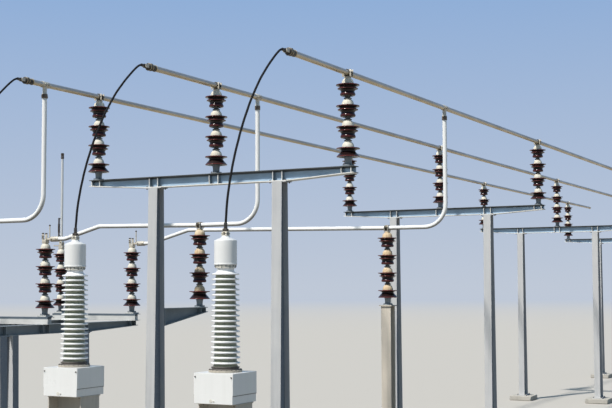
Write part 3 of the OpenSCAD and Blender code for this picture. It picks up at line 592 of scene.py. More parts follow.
# Insulators: stacks of four cap-and-pin units. Each unit is a brown glazed porcelain with two
# sheds and a bell, cemented under a cast cap, and its pin is bolted to the next cap.
unit_pitch, foot_height, cap_height = 0.335, 0.285, 0.11
upper_shed = (
    [(0.08, 0.03), (0.085, 0.004), (0.104, 0.002), (0.14, 0.0015), (0.17, 0.0008)]
    + arc(0.18, -0.0065, 0.008, 75, -80) + [(0.172, -0.0155)])
unit_outline = (
    upper_shed + [(0.156, -0.0195), (0.142, -0.026), (0.133, -0.034), (0.13, -0.042), (0.132, -0.048),
                  (0.14, -0.053), (0.147, -0.0545)]
    + arc(0.153, -0.063, 0.009, 80, -80) + [
        (0.144, -0.073), (0.132, -0.078), (0.12, -0.086), (0.111, -0.097), (0.107, -0.108), (0.108, -0.118),
        (0.114, -0.13), (0.12, -0.142), (0.1225, -0.152), (0.121, -0.165), (0.112, -0.175), (0.1, -0.178),
        (0.084, -0.178), (0.076, -0.15), (0.06, -0.14), (0.04, -0.135)])
low_outline = (
    upper_shed + [(0.152, -0.02), (0.132, -0.028), (0.118, -0.038), (0.114, -0.048), (0.12, -0.06),
                  (0.138, -0.08), (0.157, -0.101), (0.171, -0.118), (0.177, -0.126)]
    + arc(0.1755, -0.1345, 0.0085, 55, -80) + [
        (0.164, -0.1435), (0.15, -0.142), (0.12, -0.13), (0.09, -0.118), (0.06, -0.112), (0.04, -0.112)])


def glaze(name, deep, thin, coat):
    """Fired glaze, with a second colour where the rims mask is: paler glaze, and painted highlight"""
    made = weathered(
        name, deep, tuple(c * 0.75 for c in deep), rough=0.22, streak=0.2, dust=0.08, grime=0.15,
        dusty=(0.34, 0.28, 0.24), relief=0.04, coat=coat, stretch=(20, 20, 4), specular=0.22)
    overlay(made, node(made.node_tree, "Attribute", attribute_name="rims").outputs["Fac"], thin)
    return made


def casting(name, clean, worn, **wear):
    """The finish of a small casting, with fine patches and streaks"""
    return weathered(name, clean, worn, stretch=(40, 40, 10), **wear)


def mark_rims(obj, mask):
    """Keeps how much of the rim colour each point takes, from its radius and height"""
    layer = obj.data.attributes.new("rims", "FLOAT", "POINT")
    for point, own in zip(obj.data.vertices, layer.data):
        own.value = mask(math.hypot(point.co.x, point.co.y), point.co.z)
    return obj


def near(value, target, reach):
    return max(0.0, 1 - abs(value - target) / reach)


def unit_rims(r, z):
    """The edges of both sheds, and faintly the lip of the bell: paler glaze, and painted highlight"""
    bell = 0.8 * near(z, -0.158, 0.026) * near(r, 0.12, 0.014)
    return max(near(r, 0.188, 0.012), near(r, 0.16, 0.011) * near(z, -0.063, 0.014), bell)


def low_unit_rims(r, z):
    return max(near(r, 0.188, 0.012), near(r, 0.184, 0.014) * near(z, -0.134, 0.022))


# Reddish rims: paler glaze where it ran off, and a painted highlight on the rims and the bell's lip.
brown_glaze = glaze("brown_glaze", (0.013, 0.004, 0.005), (0.16, 0.036, 0.032), 0.06)
cap_iron = weathered(
    "cap_iron", (0.84, 0.8, 0.7), (0.72, 0.64, 0.5), rough=0.6, stretch=(30, 30, 8), streak=0.25, dust=0.3,
    dusty=(0.88, 0.86, 0.78), grime=0.5, grimy=(0.22, 0.17, 0.11), relief=0.4)
cap_rusty = weathered(
    "cap_rusty", (0.9, 0.79, 0.58), (0.62, 0.34, 0.13), rough=0.7, stretch=(30, 30, 8), patch=0.7, streak=0.6,
    speck=0.4, dust=0.4, dusty=(0.86, 0.8, 0.68), grime=0.6, grimy=(0.22, 0.12, 0.06), relief=0.4)
pedestal_zinc = casting("pedestal_zinc", (0.32, 0.37, 0.41), (0.17, 0.18, 0.19), rough=0.55, dust=0.3)
neck_iron = casting("neck_iron", (0.16, 0.17, 0.17), (0.09, 0.08, 0.065), rough=0.55, metal=0.2, dust=0.3)
cement = weathered("cement", (0.34, 0.15, 0.08), (0.2, 0.09, 0.05), rough=0.9, speck=0.6, relief=0.6)

unit_mesh = keep_mesh(paint(mark_rims(turned(unit_outline), unit_rims), brown_glaze))
low_mesh = keep_mesh(paint(mark_rims(turned(low_outline), low_unit_rims), brown_glaze))
cap_mesh = keep_mesh(paint(turned([
    (0.05, cap_height), (0.052, 0.108), (0.052, 0.099), (0.066, 0.091), (0.08, 0.075), (0.09, 0.054),
    (0.0955, 0.032), (0.098, 0.014), (0.098, 0.007), (0.096, 0.004), (0.07, 0.004)]), cap_iron))
bed_mesh = keep_mesh(paint(turned([
    (0.085, 0.008), (0.0985, 0.0065), (0.1015, 0.004), (0.1005, 0.0015), (0.085, 0.0005),
    (0.085, 0.008)]), cement))
neck_mesh = keep_mesh(paint(turned([
    (0.03, -0.1), (0.032, -0.142), (0.042, -0.15), (0.045, -0.16), (0.042, -0.172),
    (0.041, -0.198), (0.046, -0.209), (0.0615, -0.2125), (0.0625, -0.215), (0.0625, -0.223),
    (0.061, -0.2255)]), neck_iron))
pedestal = paint(turned([
    (0.03, -0.09), (0.033, -0.118), (0.062, -0.131), (0.067, -0.145), (0.061, -0.17),
    (0.056, -0.205), (0.056, -0.24), (0.062, -0.256), (0.069, -0.2625), (0.091, -0.266), (0.094, -0.269),
    (0.094, -0.283), (0.092, -0.285)]), pedestal_zinc)
round_four = [(math.cos(a), math.sin(a)) for a in (math.pi / 4 + math.pi / 2 * k for k in range(4))]
unit_z = [foot_height + unit_pitch * k for k in range(4)]
levels = at([(0, 0, z) for z in unit_z])
pin_bolts = [((0.053 * c, 0.053 * s, z - 0.2125), (0, 0, 1)) for z in unit_z[1:] for c, s in round_four]
foot_bolts = [((0.08 * c, 0.08 * s, foot_height - 0.2645), (0, 0, 1)) for c, s in round_four]
stack_porcelain = keep_mesh(join(spread(low_mesh, levels[:1]), spread(unit_mesh, levels[1:])))
stack_metal = keep_mesh(join(
    moved(pedestal, levels[0]), spread(cap_mesh, levels), spread(bed_mesh, levels),
    spread(neck_mesh, levels[1:]), bolts(pin_bolts, 0.0072), bolts(foot_bolts, 0.0105)))
rusty_metal = stack_metal.copy()
for index, own in enumerate(rusty_metal.materials):
    if own == cap_iron:
        rusty_metal.materials[index] = cap_rusty


def stacks(name, nodes, feet, rusty=()):
    """Insulators on their seats. Those on the rusty seats have caps that rust has stained"""
    porcelain = spread(stack_porcelain, at([*feet, *rusty]))
    fit(porcelain, name + "_glazed", "brown_porcelain", nodes + "_porcelain", angle=50)
    metal = spread(stack_metal, at(feet))
    if rusty:
        metal = join(metal, spread(rusty_metal, at(rusty)))
    fit(metal, name + "_fittings", "cap_metal", nodes + "_caps")


for portal, y in zip(portals, portal_y):
    stacks("portal_%d_stacks" % portal, "portal_%d" % portal, [(x, y, beam_top) for x in bus_x])

# Busbars: drawn aluminium tubes, one to a phase, clamped on top of the insulators, and a cast plug
# closes the back end. The dull skin is grey with dust on top, and painted golden brown below: dirt,
# and painted reflection of the lit ground.
bus_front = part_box("busbar_a")[0].y
bus_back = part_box("busbar_a")[1].y
bus_length = bus_back - bus_front
bus_radius = 0.045
bus_bore = bus_radius - 0.006
# Faces that point down take golden brown: dirt, and painted reflection of the lit ground.
bus_aluminium = weathered(
    "bus_aluminium", (0.52, 0.5, 0.46), (0.4, 0.37, 0.33), rough=0.4, metal=0.5, stretch=(20, 0.6, 20),
    streak=0.3, dust=0.9, dusty=(0.26, 0.255, 0.245), grime=1.0, grimy=(0.6, 0.46, 0.25), relief=0.06)
tube = [(bus_bore, 0.002), (bus_bore + 0.001, 0), (bus_radius - 0.001, 0), (bus_radius, 0.001)]
tube += [(bus_radius, bus_length * k / 24) for k in range(1, 24)]
tube += [(bus_radius, bus_length - 0.001), (bus_radius - 0.001, bus_length), (bus_bore, bus_length), tube[0]]
tube_mesh = keep_mesh(paint(turned(tube, 56), bus_aluminium))
for phase, x in zip("abc", bus_x):
    laid = spread(tube_mesh, [seat((x, bus_front, bus_z), (0, 1, 0))])
    fit(laid, "busbar_tube_" + phase, "busbar_tube", "busbar_" + phase)

cast_alloy = casting(
    "cast_alloy", (0.74, 0.69, 0.59), (0.52, 0.46, 0.36), metal=0.25, patch=0.6, streak=0.35, dust=0.3,
    grime=0.6, grimy=(0.26, 0.18, 0.09), relief=0.3)
plug_mesh = keep_mesh(paint(turned([
    (0.036, -0.03), (0.038, -0.0005), (0.0445, -0.0005), (0.05, 0.0), (0.051, 0.002),
    (0.051, 0.024), (0.048, 0.0285), (0.04, 0.03)], 40), cast_alloy))
plugs = spread(plug_mesh, [seat((x, bus_back, bus_z), (0, 1, 0)) for x in bus_x])
fit(plugs, "busbar_plugs", "fitting_metal", "busbar_end_caps")


# Clamps: dark cast saddles round the tube, on a round foot that is bolted to the cap of the
# insulator. Pale flanges stand upright at both ends and hold the two halves together.
def ring(inner, outer, half, steps=40):
    """A hollow barrel along Z with rounded rims"""
    edge = 0.003
    rims = arc(outer - edge, edge - half, edge, -90, 0, 2) + arc(outer - edge, half - edge, edge, 0, 90, 2)
    outline = [(inner, edge - half), (inner + edge, -half), *rims, (inner + edge, half), (inner, half - edge)]
    return turned([*outline, outline[0]], steps)


def along_tube(obj, y=0.0):
    """Lays an upright piece along the tube"""
    return moved(obj, seat((0, y, 0), (0, 1, 0)))


def ears(outer, half, count, reach=0.022, thick=0.0115):
    """Ears of a barrel that lies along Y, in two halves with a gap, and their bolts"""
    parts, places = [], []
    for side in (-1, 1):
        x = sorted((side * (outer - 0.005), side * (outer + reach)))
        for low, high in ((-thick, -0.0015), (0.0015, thick)):
            parts.append(block((x[0], -half, low), (x[1], half, high), 0.0025, 1))
        for k in range(count):
            y = (k - (count - 1) / 2) * (2 * half / count)
            places += [((side * (outer + reach / 2), y, way * thick), (0, 0, way)) for way in (1, -1)]
    return parts, places


# This bronze is painted pale gold on faces that point up: painted glint of sunlit bronze.
sleeve_bronze = casting(
    "sleeve_bronze", (0.048, 0.037, 0.022), (0.018, 0.014, 0.01), rough=0.42, metal=0.15, patch=0.9,
    dust=0.65, dusty=(0.86, 0.7, 0.42), grime=0.5, grimy=(0.04, 0.03, 0.02), relief=0.3)
clamp_drop, clamp_half = 0.08, 0.042


def tube_clamp(radius):
    outer = radius + 0.014
    lobes, places = ears(outer, clamp_half, 2)
    barrel = along_tube(ring(radius + 0.0003, outer, clamp_half))
    foot = turned([(r, z - clamp_drop) for r, z in (
        (0.056, 0), (0.058, 0.002), (0.058, 0.01), (0.054, 0.014), (0.04, 0.016), (0.034, 0.024),
        (0.03, 0.034))], 36)
    post = block((-radius * 0.8, -0.028, 0.012 - clamp_drop), (radius * 0.8, 0.028, -radius * 0.62), 0.006)
    flanges = []
    for side in (-1, 1):
        x = sorted((side * (radius + 0.001), side * (outer + 0.021)))
        for y in (-clamp_half, clamp_half - 0.009):
            low = (x[0], y, 0.006 - clamp_drop * 0.86)
            flanges.append(block(low, (x[1], y + 0.009, radius + 0.006), 0.003))
    saddle = paint(join(barrel, post, *lobes), sleeve_bronze)
    feet = [((0.047 * c, 0.047 * s, 0.0125 - clamp_drop), (0, 0, 1)) for c, s in round_four]
    return join(saddle, paint(join(foot, *flanges), cast_alloy), bolts(places, 0.0085), bolts(feet, 0.0065))


set_out(tube_clamp(bus_radius), [(x, y, bus_z) for y in portal_y for x in bus_x],
        "busbar_saddles", "fitting_metal", "busbar_clamps")

# Front sleeves: bronze sockets bolted round the busbars' front ends, black with age, each with a
# slim ringed lug that grips the jumper's ferrule. Their raised rims are painted bright gold, a
# painted highlight of sunlit bronze.
rim_bronze = casting(
    "rim_bronze", (0.86, 0.68, 0.38), (0.42, 0.29, 0.13), rough=0.4, metal=0.2, patch=0.6, dust=0.5,
    dusty=(0.95, 0.84, 0.6), grime=0.7, grimy=(0.1, 0.06, 0.03), relief=0.3)
end_wall = turned([(0.05, -0.012), (0.056, -0.008), (0.056, 0.002), (0.0535, 0.005), (0.046, 0.005)], 40)
socket = [along_tube(ring(0.0453, 0.0575, 0.036), 0.038), along_tube(ring(0.0453, 0.05, 0.052), 0.126),
          along_tube(end_wall)]
# Painted highlight: the raised rims are painted bright gold.
rims = [rod((0, y - 0.007, 0), (0, y + 0.007, 0), r, 36, 0.002)
        for y, r in ((0.013, 0.059), (0.066, 0.059), (0.168, 0.0535))]
lug = [rod((0, -0.111, 0), (0, -0.01, 0), 0.024, 24, 0.003)]
lug += [rod((0, y - 0.008, 0), (0, y + 0.008, 0), 0.032, 24, 0.002) for y in (-0.092, -0.062, -0.032)]
cheeks = [block((x - 0.006, -0.104, -0.026), (x + 0.006, -0.022, 0.026), 0.002, 1) for x in (-0.03, 0.03)]
sleeve_bolts = [((0.0565 * c, y, 0.0565 * s), (c, 0, s)) for y in (0.03, 0.049) for c, s in round_four]
sleeve = join(
    paint(join(*socket), sleeve_bronze), paint(join(*rims), rim_bronze), paint(join(*lug), ferrule_dark),
    paint(join(*cheeks), cast_alloy), bolts(sleeve_bolts, 0.0085))
set_out(sleeve, [(x, bus_front, bus_z) for x in bus_x], "busbar_sockets", "fitting_metal", "busbar_sleeves")

# Tees: cast clamps across each busbar whose branch takes the head of the riser in a split
# socket, which has gone brown.
socket_brown = casting(
    "socket_brown", (0.2, 0.145, 0.105), (0.085, 0.06, 0.045), metal=0.15, patch=0.7, dust=0.3,
    dusty=(0.45, 0.37, 0.28), relief=0.3)
lobes, places = ears(0.052, 0.06, 2, 0.018)
branch = turned([
    (0.04, -0.02), (0.036, -0.06), (0.036, -0.14), (0.044, -0.152), (0.047, -0.16),
    (0.0475, -0.227), (0.046, -0.23), (0.0405, -0.23), (0.0405, -0.165)], 40)
tee = paint(join(along_tube(ring(0.0453, 0.0525, 0.09)), branch, *lobes), cast_alloy)
collar = [moved(ring(0.0405, 0.049, 0.036), Matrix.Translation((0, 0, -0.194)))]
for side in (-1, 1):
    y = sorted((side * 0.043, side * 0.07))
    collar += [block((x, y[0], -0.222), (x + 0.0105, y[1], -0.172), 0.002, 1) for x in (-0.012, 0.0015)]
    places += [((way * 0.012, side * 0.058, z), (way, 0, 0)) for way in (-1, 1) for z in (-0.21, -0.184)]
tee = join(tee, paint(join(*collar), socket_brown), bolts(places, 0.0075))
set_out(tee, [(x, y, bus_z) for x, y in zip(bus_x, riser_y)],
        "busbar_tees", "fitting_metal", "tee_connectors")

# Risers and runs: one bent aluminium tube to a phase, down from the tee, round a wide bend,
# and out to the disconnector with a short slope over its last part.
run_radius = 0.04
base_low, base_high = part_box("switch_bases")
post_inset = 0.155
jaw_x = base_high.x - post_inset
hinge_x = base_low.x + post_inset
run_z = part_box("run_clamps")[0].z + clamp_drop
end_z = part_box("run_a")[0].z + run_radius
run_aluminium = weathered(
    "run_aluminium", (0.97, 0.965, 0.95), (0.9, 0.89, 0.87), rough=0.42, stretch=(0.8, 20, 20), patch=0.25,
    streak=0.04, speck=0.06, dust=0.2, dusty=(0.94, 0.93, 0.91), grime=1.0, grimy=(0.1, 0.075, 0.04),
    relief=0.06)
bend_radius, slope_radius, slope_angle, straight_end = 0.42, 0.3, 15, 0.45
rise_start, rise_angle = 1.294, 1
turn = math.radians(slope_angle)


def slope_reach(fall):
    """Level length that the slope and its two bends take"""
    in_bends = 2 * slope_radius * (1 - math.cos(turn))
    return 2 * slope_radius * math.sin(turn) + (fall - in_bends) / math.tan(turn)


for phase, x, y in zip("abc", bus_x, riser_y):
    reach = x - jaw_x
    slope_end = reach - straight_end
    level = slope_end - slope_reach(run_z - end_z) - rise_start
    rise = max(0, level) / (1 / math.tan(math.radians(rise_angle)) + 1 / math.tan(turn))
    slope_start = slope_end - slope_reach(run_z + rise - end_z)
    route = [(0, bus_z - 0.16)] + arc(bend_radius, run_z + bend_radius, bend_radius, 180, 270, 24)
    route += [(rise_start, run_z)] if rise else []
    route += arc(slope_start, run_z + rise - slope_radius, slope_radius, 90, 90 - slope_angle, 6)
    route += arc(slope_end, end_z + slope_radius, slope_radius, 270 - slope_angle, 270, 6)
    route.append((reach - 0.165, end_z))
    bent = wire_curve([(x - ahead, y, z) for ahead, z in route], "tube")
    bent.data.bevel_depth = run_radius
    bent.data.bevel_resolution = 8
    fit(paint(solid_of(bent), run_aluminium), "run_tube_" + phase, "run_tube", "run_" + phase)

# Post stand and arm: run C's post stands on a plain H column. Run B's post stands on a tapered
# arm that is bolted to the face of the first portal's left column.
# Faces that point along X are painted near black: painted shade inside the H section.
stand_cream = steelwork(
    "stand_cream", (0.74, 0.67, 0.57), (0.56, 0.5, 0.43), (14, 14, 0.5), streak=0.3, grime=0.35,
    sheltered=(0.055, 0.058, 0.05))
dress(stand_cream, "post_stands")
# Painted shade: the arm, seen from its shaded side, takes a steel painted darker all over.
beam_dark = steelwork("beam_dark", (0.295, 0.335, 0.36), (0.18, 0.21, 0.23), (3, 3, 8), grime=0.2)
dress(beam_dark, "arm_stand")
stand_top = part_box("post_stands")[1].z
stand_foot = (stand_x, riser_y[2])
arm_foot = (column_x[0], riser_y[1])
pedestal_reach = 0.08 * 0.7071
places = four_bolts(*stand_foot, pad_height + 0.02, 0.105, 0.105, 1, 0.016)
places += four_bolts(*stand_foot, stand_top - 0.02, pedestal_reach, pedestal_reach, -1, 0.0105)
places += four_bolts(*arm_foot, stand_top - 0.012, pedestal_reach, pedestal_reach, -1, 0.0105)
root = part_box("arm_stand")[0].y
for side in (-1, 1):
    for z in (-0.045, -0.125, -0.205, -0.262):
        point = (arm_foot[0] + side * 0.06, root + 0.0165 - 0.0156 * z, stand_top + z)
        places.append((point, (0, 1, 0), 0.012))
fit(sized_bolts(places), "stand_bolts", "column_steel")
crossways = Matrix.Rotation(math.pi / 2, 4, "Z")
saddles = spread(keep_mesh(tube_clamp(run_radius)),
                 [place @ crossways for place in at([(*stand_foot, run_z), (*arm_foot, run_z)])])
fit(saddles, "run_saddles", "fitting_metal", "run_clamps")

# Disconnector frame: two low portals side by side, of the same H columns and beams, carry the
# three channels that the poles stand on.
switch_zinc = steelwork("switch_zinc", (0.76, 0.76, 0.74), (0.58, 0.58, 0.57), (3, 9, 8), grime=0.3)
dress(column_zinc, "switch_columns")
# The beams take the darker steel: painted shade of their shaded side.
dress(beam_dark, "switch_beams")
dress(switch_zinc, "switch_bases")
switch_seat = base_high.z
switch_beam_top = switch_beam_high.z
# Painted shadow: a dark strip on the channels' front, just under the top lip.
tree = switch_zinc.node_tree
height = axes(tree)[2]
web = times(tree, ramp(tree, height, switch_seat - 0.078, switch_seat - 0.064),
            ramp(tree, height, switch_seat - 0.018, switch_seat - 0.024))
overlay(switch_zinc, web, (0.1, 0.13, 0.16))
stacks("post_stacks", "post", [(x, y, switch_seat) for x in (jaw_x, hinge_x) for y in riser_y],
       [(*stand_foot, stand_top), (*arm_foot, stand_top)])
places = []
for x in switch_x:
    for y in switch_y:
        places += column_bolts(x, y, 0.2, switch_beam_top - beam_depth, turned_round=True)
    for y in riser_y:
        places += four_bolts(x, y, switch_beam_top + 0.01, 0.06, 0.07, 1, 0.012)
        places += four_bolts(x, y, switch_beam_top - 0.012, 0.06, 0.07, -1, 0.012)
fit(sized_bolts(places), "disconnector_bolts", "stand_steel")

# Jaws: a cast block with sprung fingers on both sides that the blade closes between, an
# arcing rod with a ball at its tip, and the split socket for the end of the run.
copper_dark = casting(
    "copper_dark", (0.11, 0.085, 0.065), (0.06, 0.05, 0.045), rough=0.45, metal=0.6, dust=0.15)
jaw_parts = [
    block((-0.05, -0.054, 0), (0.05, 0.054, 0.075), 0.006),
    block((0.044, -0.025, 0.062), (0.142, 0.025, 0.1), 0.006),
    moved(ring(run_radius + 0.0003, 0.052, 0.095), seat((0.235, 0, 0.08), (1, 0, 0))),
    rod((0.14, 0, 0.08), (0.158, 0, 0.08), 0.05, 32, 0.003),
    block((-0.03, -0.034, 0.07), (0.03, 0.034, 0.086), 0.004),
    rod((0.1, 0, 0.08), (0.1, 0, 0.342), 0.012, 16, 0.001)]
ball = turned([(0, -0.019)] + arc(0, 0, 0.019, -70, 70, 8) + [(0, 0.019)], 24)
dark_parts = [moved(ball, Matrix.Translation((0.1, 0, 0.346))),
              rod((0.1, 0, 0.096), (0.1, 0, 0.112), 0.019, 6, 0.001)]
for side in (-1, 1):
    y = side * 0.048
    for x in (-0.04, -0.012):
        jaw_parts.append(block((x - 0.012, y - 0.004, 0.06), (x + 0.012, y + 0.004, 0.19), 0.002))
        dark_parts.append(block((x - 0.013, y - 0.006, 0.18), (x + 0.013, y + 0.006, 0.204), 0.004))
        dark_parts += [rod((x, y + side * 0.0035, z), (x, y + side * 0.02, z), 0.0085, 12, 0.001)
                       for z in (0.106, 0.144)]
    rail = sorted((y, y + side * 0.01))
    jaw_parts.append(block((-0.045, rail[0], 0.07), (0.002, rail[1], 0.088), 0.002, 1))
jaw_bolts = []
for x in (0.177, 0.287):
    lobes, places = ears(0.052, 0.017, 1, 0.018, 0.01)
    flat = Matrix.Translation((x, 0, 0.08)) @ crossways
    jaw_parts += [moved(lobe, flat) for lobe in lobes]
    jaw_bolts += [(flat @ Vector(point), way) for point, way in places]
jaw = join(paint(join(*jaw_parts), cast_alloy), paint(join(*dark_parts), copper_dark),
           bolts(jaw_bolts, 0.0065))
cap_top = switch_seat + unit_z[3] + cap_height
set_out(jaw, [(jaw_x, y, cap_top) for y in riser_y], "disconnector_jaws", "fitting_metal", "switch_jaws")

# Hinges: a cast bearing with two ears that hold the blade's pin, and a flat drilled terminal
# at the outer side.
pin_height = 0.15
hinge_parts = [block((-0.055, -0.046, 0), (0.055, 0.046, 0.075), 0.006),
               block((-0.2, -0.04, 0.07), (-0.048, 0.04, 0.09), 0.003)]
terminal_bolts = [((x, y, z), (0, 0, way)) for x in (-0.175, -0.11) for y in (-0.02, 0.02)
                  for z, way in ((0.09, 1), (0.07, -1))]
pin_nuts = [((0, side * 0.047, pin_height), (0, side, 0)) for side in (-1, 1)]
for side in (-1, 1):
    y = sorted((side * 0.031, side * 0.047))
    hinge_parts.append(block((-0.036, y[0], 0.06), (0.036, y[1], 0.152), 0.003))
    hinge_parts.append(rod((0, y[0] - 0.0007, pin_height), (0, y[1] + 0.0007, pin_height), 0.0365, 40, 0.003))
pin = rod((0, -0.052, pin_height), (0, 0.052, pin_height), 0.012, 24)
hinge = join(paint(join(*hinge_parts), cast_alloy), paint(pin, copper_dark), bolts(terminal_bolts, 0.0075),
             bolts(pin_nuts, 0.013))
set_out(hinge, [(hinge_x, y, cap_top) for y in riser_y],
        "disconnector_hinges", "fitting_metal", "switch_hinges")

# Blades: aluminium tubes that stand open on their hubs. A lever with its spring housing runs
# beside the lower part, and a dark contact head closes into the jaw.
tip, contact = 2.01, 0.13
tube_end = tip - contact
blade_white = weathered(
    "blade_white", (0.82, 0.82, 0.8), (0.64, 0.63, 0.6), rough=0.4, metal=0.3, stretch=(20, 20, 0.8),
    patch=0.4, streak=0.3, dust=0.2, grime=0.3, relief=0.06)
hub = along_tube(ring(0.01205, 0.036, 0.03))
blade_tube = turned([
    (0.0275, 0.028), (0.029, 0.03), (0.029, 0.04), (0.032, 0.044), (0.032, 0.12), (0.03, 0.128),
    (0.028, 0.13), (0.028, tube_end)], 32)
contact_head = turned([
    (0.0295, tube_end - 0.004), (0.031, tube_end), (0.036, tube_end + 0.006),
    (0.036, tube_end + 0.04), (0.033, tube_end + 0.044), (0.033, tip - 0.044), (0.036, tip - 0.04),
    (0.036, tip - 0.01), (0.03, tip - 0.003), (0.02, tip)], 32)
lever = [block((-0.087, -0.022, 0.14), (-0.073, 0.022, 0.55), 0.004),
         block((-0.094, -0.026, 0.22), (-0.066, 0.026, 0.42), 0.008)]
lever += [block((-0.075, -0.012, z), (-0.02, 0.012, z + 0.026), 0.003) for z in (0.142, 0.522)]
blade_bolts = [((-0.05, side * 0.012, z), (0, side, 0)) for side in (-1, 1) for z in (0.155, 0.535)]
blade = join(paint(join(hub, blade_tube), blade_white), paint(join(contact_head, *lever), copper_dark),
             bolts(blade_bolts, 0.008))
set_out(blade, [(hinge_x, y, cap_top + pin_height) for y in riser_y],
        "disconnector_blades", "run_tube", "switch_blades", body="blades")

# Transformer stands: wide H stands of galvanised plate, anchored to their pads, with the
# tank bolted on top.
stand_olive = steelwork(
    "stand_olive", (0.62, 0.57, 0.5), (0.46, 0.42, 0.35), (9, 9, 0.7), rough=0.6, streak=0.3, grime=0.3)
dress(stand_olive, "transformer_stands")
tank_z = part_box("transformer_tanks")[0].z
places = []
for x in bus_x:
    places += four_bolts(x, transformer_y, pad_height + 0.016, 0.255, 0.175, 1, 0.02)
    places += four_bolts(x, transformer_y, tank_z - 0.016, 0.225, 0.165, -1, 0.012)
fit(sized_bolts(places), "transformer_stand_bolts", "stand_steel")


# Tanks: welded steel boxes in white enamel with a flat front. On the other sides the upper
# part overlaps the lower third, and two bolts hold the lid at the front and the back. A dark
# strip in the seam under the overlap is painted shadow.
def set_on_row(obj, z, *names, **how):
    """Fits a piece of the transformers, one to a phase, at its height"""
    return set_out(obj, [(x, transformer_y, z) for x in bus_x], *names, **how)


tank_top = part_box("transformer_tanks")[1].z
white_enamel = weathered(
    "white_enamel", (0.89, 0.885, 0.87), (0.82, 0.81, 0.78), rough=0.35, stretch=(16, 16, 1.0), patch=0.35,
    streak=0.07, speck=0.1, dust=0.25, dusty=(0.82, 0.8, 0.75), grime=0.4, grimy=(0.5, 0.47, 0.4),
    relief=0.08, coat=0.1)
band_grey = casting(
    "band_grey", (0.84, 0.81, 0.74), (0.66, 0.62, 0.54), rough=0.55, metal=0.1, speck=0.5, relief=0.4)
half_x, half_y = 0.29, 0.295
tank_height = tank_top - tank_z
seam = tank_height * 0.28
lid_z = tank_height - 0.05
tank_parts = [block((-half_x + 0.006, -half_y, 0), (half_x - 0.006, half_y - 0.006, seam + 0.01), 0.004),
              block((-half_x, -half_y + 0.0005, seam), (half_x, half_y, tank_height), 0.005)]
# Painted shadow: a dark strip in the seam under the overlap.
groove = block(
    (-half_x + 0.001, -half_y + 0.005, seam - 0.007), (half_x - 0.001, half_y - 0.001, seam + 0.001), 0.001)
vents = [rod((-0.035, -half_y + 0.006, 0.036), (-0.035, -half_y - 0.003, 0.036), 0.024, 24, 0.0015),
         rod((0.008, -half_y + 0.006, 0.036), (0.008, -half_y - 0.01, 0.036), 0.011, 16, 0.0015)]
lid_bolts = [((side * 0.268, way * half_y, lid_z), (0, way, 0)) for side in (-1, 1) for way in (-1, 1)]
tank = join(paint(join(*tank_parts), white_enamel), paint(groove, neck_iron), paint(join(*vents), band_grey),
            bolts(lid_bolts, 0.0105))
set_on_row(tank, tank_z, "transformer_boxes", "white_paint", "transformer_tanks", angle=20)

# Turrets: a cast flange in old cream paint on the tank's lid, held by a ring of bolts, and a
# clamping ring above it that grips the porcelain, painted near black: painted shade under the
# porcelain's foot.
turret_cream = weathered(
    "turret_cream", (0.54, 0.49, 0.42), (0.4, 0.35, 0.28), rough=0.6, stretch=(30, 30, 6), patch=0.6,
    streak=0.5, dust=0.3, relief=0.3)
# Painted shade: the ring under the porcelain's foot is near black.
turret_dark = weathered(
    "turret_dark", (0.055, 0.05, 0.045), (0.16, 0.14, 0.12), rough=0.6, stretch=(30, 30, 6), patch=0.4,
    streak=0.3, dust=0.25, dusty=(0.3, 0.28, 0.25), grime=0.2, relief=0.4)
flange = turned([
    (0.213, 0), (0.215, 0.002), (0.215, 0.024), (0.212, 0.027), (0.192, 0.028)], 56)
grip_ring = turned([
    (0.188, 0.02), (0.186, 0.03), (0.18, 0.04), (0.172, 0.046), (0.171, 0.052), (0.176, 0.055),
    (0.176, 0.064), (0.168, 0.068), (0.16, 0.075)], 56)
around = [(math.cos(a), math.sin(a)) for a in (math.tau * k / 20 for k in range(20))]
turret = join(paint(flange, turret_cream), paint(grip_ring, turret_dark),
              bolts([((0.2045 * c, 0.2045 * s, 0.027), (0, 0, 1)) for c, s in around], 0.0095),
              bolts([((0.176 * c, 0.176 * s, 0.0595), (c, s, 0)) for c, s in around], 0.007))
set_on_row(turret, tank_top, "transformer_turret_rings", "turret_paint", "transformer_turrets")

# Housings: tapered porcelain in grey glaze with eighteen sheds that overhang a greenish core.
# Their rims are painted almost white, a painted highlight where the light catches them, and the
# neck under the head is almost white too.
housing_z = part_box("transformer_porcelain")[0].z
housing_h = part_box("transformer_porcelain")[1].z - housing_z
shed_count, shed_start, shed_pitch = 18, 0.041, 0.0665
core_low, core_high = 0.146, 0.125
rim_low, rim_high, rim_half = 0.192, 0.177, 0.0108


def tapered(low, high, z):
    return low + (high - low) * z / housing_h


outline = [(core_low + 0.014, 0), (core_low + 0.014, 0.006), (core_low + 0.004, 0.014)]
for k in range(shed_count):
    z = shed_start + shed_pitch * k
    r = tapered(core_low, core_high, z)
    rim = tapered(rim_low, rim_high, z) - rim_half
    outline += [(r, z - 0.015), (r + 0.005, z - 0.0115), (r + 0.018, z - 0.0095), (rim - 0.008, z - 0.0105)]
    outline += arc(rim, z - 0.001, rim_half, -75, 65, 5)
    outline += [(rim - 0.01, z + 0.0105), (r + 0.012, z + 0.018), (r + 0.002, z + 0.026)]
outline += [(0.118, housing_h - 0.026), (0.112, housing_h - 0.015), (0.11, housing_h - 0.004),
            (0.11, housing_h)]
# Painted highlight: the shed rims take near white.
grey_glaze = glaze("grey_glaze", (0.385, 0.405, 0.305), (0.98, 0.98, 0.98), 0.3)


def pale_rims(r, z):
    """All of the neck, and on the sheds what stands well out from the core"""
    beyond = r - tapered(core_low, core_high, z)
    return 1.0 if z > housing_h - 0.045 else min(1.0, max(0.0, (beyond - 0.016) / 0.012))


housing = paint(mark_rims(turned(outline, 56), pale_rims), grey_glaze)
set_on_row(housing, housing_z, "transformer_housings", "grey_porcelain", "transformer_porcelain", angle=50)

